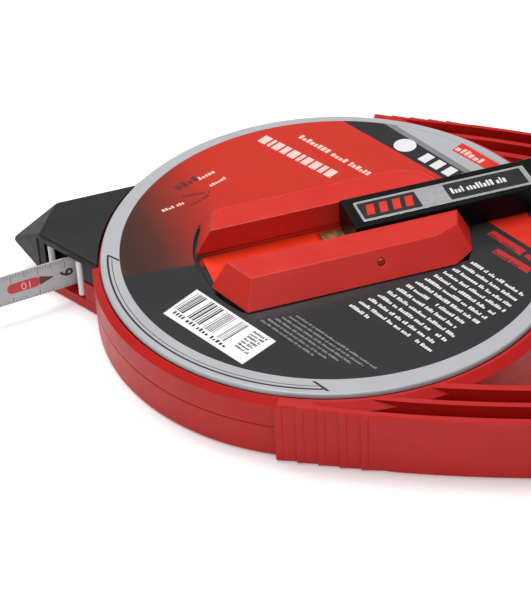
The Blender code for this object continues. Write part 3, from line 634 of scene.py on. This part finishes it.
def upper_shell():
    seam = PART_HIGH - SEAM_CLOSE
    levels = [(seam_outline(0.25), seam), (case_outline(), seam + 0.25),
              (case_outline(), CASE_TOP - RIM_CHAMFER),
              (case_outline(RIM_CHAMFER - RAIL_CHAMFER, 0.0), CASE_TOP - RAIL_CHAMFER),
              (case_outline(RIM_CHAMFER, RAIL_CHAMFER), CASE_TOP)]
    shell = loft("upper_shell_fine", levels)
    tools = [sloped_room("opening_high", opening_outline(), opening_outline(BAND_TOP_RADIUS), CUT_LOW)]
    tools.append(rod("hollow_high", CAVITY_RADIUS, PART_HIGH - 1, LEDGE_LOW, steps=120))
    tools.append(rod("disc_seat", DISC_RADIUS + MOAT_WIDTH, LEDGE_HIGH, CUT_HIGH, steps=180))
    inside, outside = DISC_RADIUS - 1.2, DISC_RADIUS + MOAT_WIDTH
    moat = [(inside, LEDGE_HIGH + 1), (inside, MOAT_LOW), (outside, MOAT_LOW), (outside, LEDGE_HIGH + 1)]
    tools.append(turned("moat", moat, HERE, 180))
    nose_gap = ring_band(DISC_RADIUS - 1.0, NOSE_WALL_RADIUS + 0.4, math.radians(161.5), math.radians(198.5))
    tools.append(slab("nose_gap", nose_gap, MOAT_LOW, CUT_HIGH))
    tools.append(rod("ledge_hole", LEDGE_RADIUS, 0.0, CUT_HIGH, steps=120))
    tools.append(nose_room("nose_room_high", PART_HIGH - 1, CUT_HIGH))
    tools.append(gate("gate_high", PART_HIGH - 1, GATE_HIGH))
    for inset in POCKETS:
        wide, narrow = pocket_outline(*inset), pocket_outline(*inset, BAND_TOP_RADIUS)
        tools.append(sloped_room("pocket_high", wide, narrow, MID_Z + WEB_HALF))
        tools.append(sloped_room("pocket_high", flipped(wide), flipped(narrow), MID_Z + WEB_HALF))
    boolean(shell, "DIFFERENCE", tools)
    bake(shell, 0.4, 3, 30.0)
    dress(shell, CASE_RED, "case", "case_red", "upper_shell")


# ---- nose -----------------------------------------------------------------------------------
MOUTH_LINE = math.atan2(NOSE_NEAR[1] - NOSE_NEAR[0], NOSE_BASE - NOSE_FRONT)
MOUTH_FRAME = (Matrix.Translation((MOUTH[0] * MM, MOUTH[1] * MM, 0.0))
               @ Matrix.Rotation(math.pi - MOUTH_LINE, 4, "Z"))


def nose():
    low = LIP_TOP + GAP
    corners = [(x, y, z) for x, y in nose_outline() for z in (low, NOSE_TOP)]
    cap = hull("nose_cap_fine", corners + [(*NOSE_TIP, MID_Z)])
    bake(cap, 1.2, 4, 25.0)
    cap.modifiers.clear()
    tools = [rod("nose_drum", NOSE_WALL_RADIUS + GAP, 0.0, CUT_HIGH, steps=180)]
    tools.append(block("mouth_room", (-MOUTH_BEHIND, -MOUTH_DEPTH, 0.0), (MOUTH_AHEAD, 4.0, MOUTH_TOP),
                       MOUTH_FRAME))
    tools.append(block("below_brow", (-30.0, -BROW_DEPTH, 0.0), (14.0, 6.0, BROW_LOW), MOUTH_FRAME))
    tools.append(shoulder_box("shoulder_high", GAP))
    tools.append(gate("cap_gate", GATE_LOW, GATE_HIGH))
    boolean(cap, "DIFFERENCE", tools)
    bake(cap, 0.2, 2, 30.0)
    dress(cap, NOSE_BLACK, "case", "nose_black", "nose_cap")


# ---- turning disc and its print --------------------------------------------------------------
def band_outline(radius, half, count=40):
    edge = math.asin(half / radius)
    return arc(radius, -edge, edge, count) + arc(radius, math.pi - edge, math.pi + edge, count)


def side_disc():
    edge = 0.8
    profile = [(0.0, DISC_TOP), (DISC_RADIUS - edge, DISC_TOP), (DISC_RADIUS - 0.45, DISC_TOP - 0.1),
               (DISC_RADIUS - 0.15, DISC_TOP - 0.35), (DISC_RADIUS, DISC_TOP - edge), (DISC_RADIUS, DISC_LOW),
               (0.0, DISC_LOW)]
    disc = turned("side_disc_fine", profile, REEL, 240)
    centre = (REEL.inverted() @ Vector((*LABEL_CENTRE, 0.0)))[:2]
    tools = [slab("hub_window", band_outline(HUB_RADIUS + HUB_GAP, HUB_HALF + GAP), 10.0, 40.0, REEL)]
    tools.append(rod("label_seat", LABEL_RADIUS + 0.1, LABEL_LOW - 0.1, 40.0, centre, REEL, 240))
    boolean(disc, "DIFFERENCE", tools)
    bake(disc, 0.1, 2, 50.0)
    dress(disc, DISC_SILVER, "reel", "disc_silver", "side_disc")
    label = rod("face_label_fine", LABEL_RADIUS, LABEL_LOW, DISC_TOP - 0.05, LABEL_CENTRE, steps=240)
    window = slab("label_window", band_outline(HUB_RADIUS + HUB_GAP, HUB_HALF + GAP), 10.0, 40.0, REEL)
    boolean(label, "DIFFERENCE", [window])
    bake(label, 0.0)
    dress(label, LABEL_FILM, "reel", "label_print", "face_label")


INK_LOW = DISC_TOP - 0.045
INK_HIGH = DISC_TOP - 0.01


def ink(name, outlines, look, raise_by=0.0, slot="label_print"):
    """Printed marks on the disc, as a thin film."""
    piece = slabs(name, outlines, INK_LOW, INK_HIGH + raise_by)
    dress(piece, look, "reel", slot)


def box_along(start, direction, length, height, depth=0.0):
    """Rectangle from start along a direction, with its depth to the right of it."""
    run = Vector((math.cos(direction), math.sin(direction)))
    down = Vector((run.y, -run.x))
    origin = Vector(start) + down * depth
    return [tuple(origin), tuple(origin + run * length), tuple(origin + run * length + down * height),
            tuple(origin + down * height)]


def words(rng, start, direction, length, height, letter, space, gap=None):
    """A row of letter-sized marks in groups, standing in for a line of small print."""
    made = []
    along = 0.0
    left = rng.randint(3, 8)
    while along < length - letter:
        if gap and gap[0] * length < along < gap[1] * length:
            along = gap[1] * length
        wide = letter * rng.uniform(0.55, 1.0)
        tall = height * rng.choice((1.0, 1.0, 0.75, 0.75, 0.6))
        made.append(box_along(polar(along, direction, start), direction, wide, tall, height - tall))
        along += wide + space
        left -= 1
        if left == 0:
            left = rng.randint(2, 8)
            along += letter * 0.7
    return made


def heading(first, second):
    return math.atan2(second[1] - first[1], second[0] - first[0])


def between(first, second, share):
    return tuple(a + (b - a) * share for a, b in zip(first, second))


NOTE_LENGTHS = (25.2, 26.5, 28.0, 29.9, 30.0, 29.6, 31.0, 28.6, 29.3, 33.2, 34.0, 32.2, 36.0, 9.9)
NOTE_GAPS = {0: (0.42, 0.48), 4: (0.8, 0.86), 7: (0.37, 0.5), 10: (0.74, 0.82), 12: (0.66, 0.76)}


def print_marks():
    rng = random.Random(7)
    # notes: rows that start along the near cheek
    rows = []
    first, last, slope = (49.6, -2.1), (13.6, -32.1), math.radians(-37.5)
    for i, length in enumerate(NOTE_LENGTHS):
        start = between(first, last, i / (len(NOTE_LENGTHS) - 1))
        rows += words(rng, start, slope, length, 1.5, 1.0, 0.22, NOTE_GAPS.get(i))
    ink("notes_print", rows, INK_WHITE)
    # fine grey notes below the cheek
    rows = []
    slope = math.radians(-35.4)
    for i in range(6):
        start = between((-13.9, -45.4), (-2.9, -41.1), i / 5)
        rows += words(rng, start, slope, 26.0 + 2.4 * i, 0.85, 0.6, 0.2)
    ink("fine_print", rows, INK_GREY)
    sticker_print(rng)
    # rows of blocks on the red half
    first, last = (-38.6, 59.3), (-5.7, 39.3)
    title = heading(first, last)
    rows = []
    spot = 0.0
    for width in (3.6, 1.4, 3.2, 2.6, 3.6, 1.6, 3.0, 3.4, 2.2, 3.4):
        rows.append(box_along(polar(spot, title, first), title, width, 4.8, -2.4))
        spot += width + 0.95
    first, last = (-24.0, 64.0), (6.4, 43.6)
    rows += words(rng, first, heading(first, last), math.dist(first, last), 2.5, 1.7, 0.5)
    ink("title_print", rows, INK_PINK)
    pale = (((-56.0, 30.0), (-50.7, 37.0), 1.9), ((-63.5, 8.6), (-57.0, 15.0), 1.5),
            ((-50.7, 26.4), (-45.7, 33.6), 1.5))
    dark = (((-63.0, 23.0), (-56.0, 33.0), 3.0), ((-58.5, 18.5), (-49.0, 23.5), 1.3),
            ((-54.3, 13.6), (-49.3, 21.4), 1.3))
    for name, lines, look in (("side_print_pale", pale, INK_PINK), ("side_print_dark", dark, INK_MAROON)):
        rows = []
        for first, last, tall in lines:
            rows += words(rng, first, heading(first, last), math.dist(first, last), tall,
                          tall * 0.75, tall * 0.22)
        ink(name, rows, look)
    # plain disc and bars on the black strip
    emblem = [arc(4.2, 0.0, 2 * math.pi * 35 / 36, 35, (14.6, 63.4))]
    for i in range(4):
        emblem.append(box_along((23.0 + i * 4.8, 58.8 - i * 3.5), heading(*STRIP_INNER), 3.8, 5.4, -1.2))
    ink("emblem_print", emblem, INK_WHITE)
    # red tag on the silver part
    tag = [(32.0, 63.2), (35.0, 68.4), (51.7, 56.0), (47.4, 52.0)]
    ink("tag_print", [tag], INK_RED)
    slope = heading(tag[0], tag[3])
    marks = words(rng, (34.7, 66.3), slope, 15.0, 3.2, 2.2, 0.6)
    ink("tag_marks", marks, INK_PINK, 0.012)
    # red patch and three boxes beyond the crank
    patch = [(50.4, 22.0), (54.4, 19.0), (68.2, 8.4), (68.8, 20.0), (63.0, 30.5), (57.0, 27.5)]
    ink("patch_print", [patch], INK_RED)
    boxes = [[(51.9, 14.1), (54.0, 16.5), (66.5, 7.0), (64.5, 3.8)],
             [(54.9, 4.0), (56.9, 6.4), (69.6, -2.6), (68.4, -5.7)],
             [(65.9, 3.7), (67.2, 5.3), (70.2, 3.1), (69.6, 0.6)]]
    ink("patch_boxes", boxes, INK_DEEP_RED, 0.008)
    rows = words(rng, (53.6, 14.9), heading(boxes[0][0], boxes[0][3]), 13.0, 1.6, 1.1, 0.35)
    rows += words(rng, (56.4, 4.9), heading(boxes[1][0], boxes[1][3]), 13.5, 1.5, 1.1, 0.35)
    ink("patch_marks", rows, INK_MAROON, 0.016)
    ring_print()


def sticker_print(rng):
    """White sticker with groups of bars, a dense block and small marks along one edge."""
    a, b, c, d = (-39.3, -33.6), (-6.9, -55.7), (-15.0, -68.9), (-47.1, -48.1)
    ink("bar_sticker", [[a, b, c, d]], STICKER)
    along, down = heading(a, b), heading(a, d)
    marks = []
    for start, count in ((2.0, 6), (8.6, 7), (16.6, 7), (23.6, 5)):
        spot = start
        for i in range(count):
            width = rng.choice((0.25, 0.35, 0.5, 0.75))
            begin = polar(1.0, down, polar(spot, along, a))
            marks.append(box_along(begin, along, width, 11.0))
            spot += width + rng.choice((0.3, 0.4, 0.6))
    for i in range(7):
        marks += words(rng, polar(1.2 + 1.5 * i, down, polar(30.2, along, a)), along, 6.4, 1.0, 0.7, 0.2)
    marks += words(rng, polar(12.6, down, polar(2.4, along, a)), along, 26.0, 1.6, 1.2, 0.6)
    ink("bar_marks", marks, INK_BLACK_AND_PAINTED_SHADE, 0.012)


def ring_band(inner, outer, start, stop, count=80):
    return arc(outer, start, stop, count) + arc(inner, stop, start, count)


def ring_print():
    """Open rule printed on the silver rim."""
    start, stop = math.radians(195.5), math.radians(280.4)
    pieces = [ring_band(77.0, 77.7, start, stop - 0.012), ring_band(75.8, 76.05, start + 0.03, stop - 0.034)]
    pieces.append([polar(77.7, start), polar(77.2, start - 0.008), polar(73.4, start + 0.036),
                   polar(73.4, start + 0.05)])
    pieces.append([polar(78.2, stop), polar(78.2, stop + 0.016), polar(73.6, stop - 0.047),
                   polar(73.6, stop - 0.063)])
    piece = slabs("rim_rule", pieces, DISC_TOP - 0.02, DISC_TOP + 0.02)
    dress(piece, INK_BLACK_AND_PAINTED_SHADE, "reel", "disc_silver")


# ---- hub and cheeks ---------------------------------------------------------------------------
def hub():
    block_low = DISC_LOW - GAP
    piece = slab("hub_block_fine", band_outline(HUB_RADIUS, HUB_HALF), block_low - 0.5, CHEEK_LOW - GAP, REEL)
    boolean(piece, "UNION", [rod("hub_base", HUB_BASE_RADIUS, HUB_LOW, block_low, (0.0, 0.0), REEL, 120)])
    channel = block("hub_channel", (-60, -SLOT_HALF, SLOT_FLOOR), (60, SLOT_HALF, 40), REEL)
    boolean(piece, "DIFFERENCE", [channel])
    bake(piece, 0.25, 2, 50.0)
    dress(piece, LABEL_FILM, "reel", "hub_print", "hub_block")
    half = math.asin(HUB_HALF / HUB_RADIUS)
    # Painted shade: a thin black arc laid on the hub base at the slot's left end, under the gap between hub
    # and disc window, so that the gap reads dark.
    dark = ring_band(HUB_RADIUS + 0.05, HUB_RADIUS + HUB_GAP + 0.8, math.pi - half, math.pi + half)
    edge = SLOT_HALF - 0.2
    # The label's red print on the slot floor, in a brighter red than the label film as painted light, since
    # the floor lies in shade.
    lit_floor_outline = [(-44.0, -edge), (-3.0, -edge), (-3.0, edge), (-44.0, edge)]
    film = slab("slot_floor_print_painted_light", lit_floor_outline, SLOT_FLOOR, SLOT_FLOOR + 0.04, REEL)
    dress(film, INK_SLOT_PAINTED_LIGHT, "reel", "hub_print")
    shade = slab("hub_gap_shade", dark, block_low, block_low + 0.04, REEL)
    dress(shade, INK_BLACK_AND_PAINTED_SHADE, "reel", "hub_print")
    spring_low = SLOT_FLOOR + GAP
    spring = block("detent_spring_fine", (-2.0, -7.5, spring_low), (6.5, 7.5, spring_low + 0.6), REEL)
    bake(spring, 0.15, 2, 50.0)
    dress(spring, BRASS, "reel", "brass", "detent_spring")


CHEEK_FOOT = [(-46.5, SLOT_HALF), (-39.0, 27.5), (35.5, 27.5), (43.5, 22.0), (47.5, SLOT_HALF)]
CHEEK_CROWN = [(-40.4, SLOT_HALF), (-35.4, 21.0), (30.0, 21.0), (39.6, 17.2), (42.6, SLOT_HALF)]


def cheeks():
    for name, side in (("cheek_near", -1), ("cheek_far", 1)):
        points = [(u, side * v, CHEEK_LOW) for u, v in CHEEK_FOOT]
        points += [(u, side * v, CHEEK_TOP) for u, v in CHEEK_CROWN]
        cheek = hull(name + "_fine", points, REEL)
        hole = cross_rod(name + "_hole", PIN_END + 0.1, -40, 40, (PIN_U, FOLD_PIN[2]), REEL)
        boolean(cheek, "DIFFERENCE", [hole])
        bake(cheek, 0.7, 3, 25.0)
        dress(cheek, CHEEK_RED, "reel", "cheek_red", name)
    pin = cross_rod("crank_pin_fine", PIN_END, -23.6, 23.6, (PIN_U, FOLD_PIN[2]), REEL)
    bake(pin, 0.3, 2, 50.0)
    dress(pin, PIN_METAL, "reel", "pin_metal", "crank_pin")


# ---- crank and knob ----------------------------------------------------------------------------
def crank():
    outline = arc(ARM_HALF, -math.pi / 2, math.pi / 2, 48, (KNOB_REACH, 0.0))
    outline += [(ARM_INNER, ARM_HALF), (ARM_INNER, -ARM_HALF)]
    arm = slab("crank_arm_fine", outline, ARM_LOW, ARM_HIGH, CRANK)
    tools = [block("inlay_seat", (INLAY_START, -INLAY_HALF, ARM_HIGH - 1.0),
                   (INLAY_END, INLAY_HALF, ARM_HIGH + 2), CRANK)]
    tools.append(cross_rod("pin_way", PIN_RADIUS + 0.1, -20, 20, (0.0, 0.0), CRANK))
    tools.append(rod("spindle_way", SPINDLE_RADIUS + 0.1, -10, 10, (KNOB_REACH, 0.0), CRANK))
    tools.append(slab("arm_hollow", rounded(6.0, -6.2, KNOB_REACH - 7.0, 6.2, 2.0),
                      ARM_LOW - 1, ARM_LOW + 3.0, CRANK))
    boolean(arm, "DIFFERENCE", tools)
    bake(arm, 0.75, 3, 35.0)
    dress(arm, ARM_BLACK, "crank", "arm_black", "crank_arm")
    edge = INLAY_HALF - 0.1
    inlay = slab("arm_inlay_fine", rounded(INLAY_START + 0.1, -edge, INLAY_END - 0.1, edge, 0.8),
                 ARM_HIGH - 0.9, ARM_HIGH - INLAY_SUNK, CRANK)
    bake(inlay, 0.1, 2)
    dress(inlay, INLAY, "crank", "inlay_silver", "arm_inlay")
    inlay_print()


def rounded(x0, y0, x1, y1, radius, count=6):
    """Rectangle with round corners."""
    quarter = math.pi / 2
    points = []
    for corner, (x, y) in enumerate(((x1 - radius, y0 + radius), (x1 - radius, y1 - radius),
                                     (x0 + radius, y1 - radius), (x0 + radius, y0 + radius))):
        points += arc(radius, (corner - 1) * quarter, corner * quarter, count, (x, y))
    return points


def figure_text(name, figures, size, look, body, slot, matrix, low, thick, bold=0.0):
    """Scale figures, as a thin raised film."""
    curve = bpy.data.curves.new(name, "FONT")
    curve.body = figures
    curve.size = size * MM
    curve.offset = bold * MM
    curve.extrude = thick / 2 * MM
    curve.align_x = "CENTER"
    curve.align_y = "CENTER"
    curve.resolution_u = 3
    text = linked(name + "_curve", curve)
    mesh = settled(text)
    bpy.data.objects.remove(text, do_unlink=True)
    shape = bmesh.new()
    shape.from_mesh(mesh)
    bmesh.ops.remove_doubles(shape, verts=shape.verts, dist=0.002 * MM)
    bmesh.ops.scale(shape, vec=(1 / MM, 1 / MM, 1 / MM), verts=shape.verts)
    made = place(name, shape, matrix @ Matrix.Translation((0.0, 0.0, (low + thick / 2) * MM)))
    dress(made, look, body, slot)
    return made


def inlay_print():
    top = ARM_HIGH - INLAY_SUNK
    for name, left, right in (("inlay_panel", 1.2, 22.5), ("inlay_panel_outer", 33.0, 62.0)):
        dark = slab(name, rounded(left, -4.7, right, 4.7, 0.6), top - 0.02, top + 0.02, CRANK)
        dress(dark, INK_BLACK_AND_PAINTED_SHADE, "crank", "inlay_silver")
    bars = [[(x, -2.9), (x + 2.8, -2.9), (x + 4.1, 2.9), (x + 1.3, 2.9)] for x in (2.8, 7.6, 12.4, 17.0)]
    piece = slabs("inlay_bars", bars, top + 0.02, top + 0.05, CRANK)
    dress(piece, INK_RED, "crank", "inlay_silver")
    rng = random.Random(3)
    marks = words(rng, (34.6, 1.9), 0.0, 21.5, 3.4, 1.1, 0.45)
    piece = slabs("inlay_marks", marks, top + 0.02, top + 0.05, CRANK)
    dress(piece, INK_WHITE, "crank", "inlay_silver")


def knob():
    at_knob = CRANK @ Matrix.Translation((KNOB_REACH * MM, 0.0, 0.0))
    bore = SPINDLE_RADIUS + 0.15
    outer = [(7.4, KNOB_TOP), (8.6, KNOB_TOP - 0.4), (9.6, KNOB_TOP - 1.5), (KNOB_RADIUS, KNOB_TOP - 3.2)]
    for i in range(1, 9):
        height = KNOB_TOP - 3.2 - i * 1.9
        taper = KNOB_RADIUS - 0.28 * i
        outer += [(taper + 0.2, height + 0.6), (taper - 0.25, height + 0.35), (taper - 0.25, height),
                  (taper + 0.1, height - 0.25)]
    outer += [(7.2, KNOB_LOW + 0.8), (6.6, KNOB_LOW), (bore, KNOB_LOW), (bore, KNOB_TOP - 2.0),
              (6.2, KNOB_TOP - 2.0), (6.2, KNOB_TOP - 0.3), (6.5, KNOB_TOP)]
    body = turned("knob_fine", outer, at_knob, 96)
    bake(body, 0.12, 2, 30.0)
    dress(body, KNOB_BLACK, "knob", "knob_black", "knob")
    rim = [(0.0, 0.05), (4.8, 0.15), (5.8, 0.5), (6.0, 0.9), (6.0, 1.6), (0.0, 1.6)]
    cap = turned("knob_cap_fine", [(radius, KNOB_TOP - depth) for radius, depth in rim], at_knob, 64)
    bake(cap)
    dress(cap, CHEEK_RED, "knob", "cheek_red", "knob_cap")


# ---- tape, clip and ring -------------------------------------------------------------------------
RING_REACH = (TAPE.inverted() @ Vector([value * MM for value in RING_PIN]))[0] / MM
FREE_END = RING_REACH - BARREL_AHEAD


def blade_frame(x, side):
    """Frame on one face of the blade: local X outwards along the tape, local Z out of the face."""
    face = Matrix.Translation((x * MM, side * BLADE_HALF * MM, 0.0))
    turn = Matrix.Rotation(math.pi / 2, 4, "X") if side < 0 else Matrix.Rotation(-math.pi / 2, 4, "X")
    return TAPE @ face @ turn


def rivet_ways():
    spots = [(FREE_END - RIVET_BACK, height) for height in RIVET_HEIGHTS]
    return [cross_rod("rivet_way", 1.1, -5, 5, spot, TAPE) for spot in spots]


def tape():
    blade = block("tape_blade_fine", (-BLADE_TAIL, -BLADE_HALF, -TAPE_HALF),
                  (FREE_END, BLADE_HALF, TAPE_HALF), TAPE)
    boolean(blade, "DIFFERENCE", rivet_ways())
    bake(blade, 0.08, 2)
    dress(blade, TAPE_FILM, "tape", "tape_grey", "tape_blade")
    for side in (-1, 1):
        scale_print(side)


def scale_print(side):
    """Ticks, figures and the ten-centimetre flag on one face of the tape."""
    up = -side
    which = "near" if side < 0 else "far"
    face = blade_frame(0.0, side)
    film = 0.03
    edge = TAPE_HALF - 0.15
    ticks = []
    for i in range(-14, int(FREE_END - 11)):
        x = float(i)
        length = 3.6 if i % 10 == 0 else (2.5 if i % 5 == 0 else 1.6)
        wide = 0.24 if i % 5 == 0 else 0.16
        for base, sign in ((-edge, 1), (edge, -1)):
            y0, y1 = sorted((base, base + sign * length * (1.0 if sign * up < 0 else 0.6)))
            ticks.append([(x, y0), (x + wide, y0), (x + wide, y1), (x, y1)])
    piece = slabs("scale_ticks_" + which, ticks, -0.01, film, face)
    dress(piece, INK_TICK, "tape", "tape_grey")
    for index, x in enumerate(range(0, int(FREE_END - 12), 10)):
        if index in (1, 2):
            continue
        figures = str((9 - index) % 10 if index < 1 else 10 + 9 - index)
        turn = Matrix.Translation((x * MM, 0.0, 0.0)) @ Matrix.Rotation(math.pi / 2, 4, "Z")
        figure_text("scale_figure_%d_%s" % (index, which), figures, 6.6, INK_SCALE, "tape",
                    "tape_grey", face @ turn, 0.0, film, 0.2)
    flag = rounded(9.6, -2.1, 21.8, 2.1, 2.0)
    piece = slab("flag_" + which, flag, 0.0, film, face)
    dress(piece, INK_FLAG, "tape", "tape_grey")
    arrow = [(9.8, -1.9), (9.8, 1.9), (4.4, 0.0)]
    piece = slab("flag_arrow_" + which, arrow, 0.0, film + 0.01, face)
    dress(piece, INK_MAROON, "tape", "tape_grey")
    spot = Matrix.Translation((14.6 * MM, 0.0, 0.0)) @ (Matrix.Rotation(0.0 if side > 0 else math.pi, 4, "Z"))
    figure_text("flag_figure_" + which, "10", 4.4, INK_FLAG_TEXT, "tape", "tape_grey",
                face @ spot, film, 0.02)


INK_SCALE = printed("scale", (50, 48, 52), (44, 42, 46))
INK_TICK = printed("tick", (98, 96, 100), (92, 90, 94))
INK_FLAG = printed("flag", (188, 44, 52), (182, 40, 48), 0.3, 0.4)
INK_FLAG_TEXT = printed("flag_text", (232, 170, 172), (228, 164, 166))
TAPE_FILM = plastic("tape_grey", srgb(172, 172, 174), srgb(164, 165, 168), 0.24, 0.34, 0.08, 0.2)


def end_fittings():
    low, high, slit = FREE_END - CLIP_BACK, FREE_END + CLIP_AHEAD, BLADE_HALF + GAP
    clip = slab("end_clip_fine", [(low, -PLATE), (high, -PLATE), (high, PLATE), (low, PLATE)],
                -TAPE_HALF - 0.3, TAPE_HALF + 0.3, TAPE)
    barrel = rod("clip_barrel", BARREL_RADIUS, -BARREL_HALF, BARREL_HALF, (RING_REACH, 0.0), TAPE)
    boolean(clip, "UNION", [barrel])
    tools = [block("clip_slit", (low - 2, -slit, -20), (FREE_END + GAP, slit, 20), TAPE)]
    tools.append(rod("wire_way", 1.25, -20, 20, (RING_REACH, 0.0), TAPE))
    tools += rivet_ways()
    boolean(clip, "DIFFERENCE", tools)
    bake(clip, 0.2, 2, 40.0)
    dress(clip, CLIP_STEEL, "tape", "clip_steel", "end_clip")
    for index, height in enumerate(RIVET_HEIGHTS, 1):
        rivet = cross_rod("clip_rivet_fine_%d" % index, 1.0, -PLATE - 0.3, PLATE + 0.3,
                          (FREE_END - RIVET_BACK, height), TAPE)
        bake(rivet, 0.25, 3, 40.0)
        dress(rivet, STEEL, "tape", "steel", "clip_rivet_%d" % index)
    half, corner, length = RING_HALF, RING_CORNER, RING_LENGTH
    points = [(0.0, -half + corner), (0.0, half - corner)]
    points += arc(corner, math.pi, math.pi / 2, 8, (corner, half - corner))[1:]
    points += arc(half, math.pi / 2, -math.pi / 2, 30, (length - half, 0.0))
    points += arc(corner, -math.pi / 2, -math.pi, 8, (corner, -half + corner))[:-1]
    curve = bpy.data.curves.new("end_ring_wire", "CURVE")
    curve.dimensions = "3D"
    curve.bevel_depth = RING_WIRE * MM
    curve.bevel_resolution = 5
    spline = curve.splines.new("POLY")
    spline.points.add(len(points) - 1)
    for point, (x, z) in zip(spline.points, points):
        point.co = (x * MM, 0.0, z * MM, 1.0)
    spline.use_cyclic_u = True
    wire = linked("end_ring_wire", curve)
    mesh = settled(wire)
    bpy.data.objects.remove(wire, do_unlink=True)
    mesh.transform(TAPE @ Matrix.Translation((RING_REACH * MM, 0.0, 0.0)))
    mesh.shade_smooth()
    ring = linked("end_ring_fine", mesh)
    dress(ring, CLIP_STEEL, "ring", "clip_steel", "end_ring")


# ---- pieces shown as the frame has them ----------------------------------------------------------
PLAIN = {
    "guide_post_front": GUIDE_WHITE, "guide_post_rear": GUIDE_WHITE, "axle": STEEL,
    "thrust_washer": GUIDE_WHITE, "reel_core": REEL_RED, "reel_flange_lower": REEL_RED,
    "reel_flange_upper": REEL_BLACK, "tape_pack": TAPE_FILM, "knob_spindle": STEEL,
}


def plain_pieces():
    for name, look in PLAIN.items():
        piece = frame["nodes"][name]
        piece.data.materials.clear()
        piece.data.materials.append(look)


def screws():
    """Cross-recessed heads in the underside."""
    for index, (x, y, radius) in enumerate(SCREW_SPOTS, 1):
        high = extent("case_screw_%d" % index)[1]
        profile = [(0.0, high[2]), (1.2, high[2]), (1.2, 2.3), (radius, 1.9), (radius, 0.9),
                   (radius - 0.5, 0.55), (0.0, 0.5)]
        spot = Matrix.Translation((x * MM, y * MM, 0.0)) @ Matrix.Rotation(index * 0.7, 4, "Z")
        screw = turned("case_screw_fine_%d" % index, profile, spot, 48)
        arms = [block("recess", (-long, -wide, 0.0), (long, wide, 1.4), spot)
                for long, wide in ((1.3, 0.3), (0.3, 1.3))]
        boolean(screw, "DIFFERENCE", arms)
        bake(screw, 0.0)
        dress(screw, STEEL, "case", "steel", "case_screw_%d" % index)


# ---- stage, light and camera ------------------------------------------------------------------------
def soft_light(name, power, size, place_at, aim):
    data = bpy.data.lights.new(name, "AREA")
    data.energy = power
    data.shape = "DISK"
    data.size = size
    lamp = linked(name, data)
    lamp.location = place_at
    lamp.rotation_euler = (Vector(aim) - Vector(place_at)).to_track_quat("-Z", "Y").to_euler()


def stage():
    floor = slab("floor", [(-4000, -4000), (4000, -4000), (4000, 4000), (-4000, 4000)], -20.0, 0.0)
    look, tree, shader = base_material("floor_white", srgb(246, 246, 246), 0.8)
    tint(tree, shader, srgb(247, 247, 247), srgb(243, 243, 243), 3.0)
    shader.inputs["Emission Color"].default_value = (1.0, 1.0, 1.0, 1.0)
    shader.inputs["Emission Strength"].default_value = 0.15
    floor.data.materials.append(look)
    world = bpy.data.worlds.new("studio")
    bpy.context.scene.world = world
    world.use_nodes = True
    backdrop = world.node_tree.nodes["Background"]
    backdrop.inputs["Color"].default_value = (1.0, 1.0, 1.0, 1.0)
    backdrop.inputs["Strength"].default_value = 0.32
    soft_light("key", 15.0, 0.9, (-0.25, 0.2, 1.15), (0.0, 0.0, 0.0))
    soft_light("front", 4.0, 0.9, (0.35, -0.95, 0.8), (0.0, 0.0, 0.0))
    view = bpy.context.scene.view_settings
    view.view_transform = "Standard"
    view.look = "None"


def camera():
    azimuth, elevation, roll = math.radians(15.0), math.radians(38.2), math.radians(-3.05)
    distance = 0.667
    target = Vector((-0.0152, -0.0352, 0.025))
    level = math.cos(elevation)
    back = Vector((math.sin(azimuth) * level, -math.cos(azimuth) * level, math.sin(elevation)))
    right = Vector((math.cos(azimuth), math.sin(azimuth), 0.0))
    up = back.cross(right)
    across = right * math.cos(roll) + up * math.sin(roll)
    above = up * math.cos(roll) - right * math.sin(roll)
    data = bpy.data.cameras.new("camera")
    data.lens = 120.0
    data.sensor_width = 36.0
    data.clip_start = 0.01
    lens = linked("camera", data)
    pose = Matrix((across, above, back)).transposed().to_4x4()
    pose.translation = target + back * distance
    lens.matrix_world = pose
    bpy.context.scene.camera = lens


lower_shell()
upper_shell()
nose()
side_disc()
print_marks()
hub()
cheeks()
crank()
knob()
tape()
end_fittings()
plain_pieces()
screws()
stage()
camera()
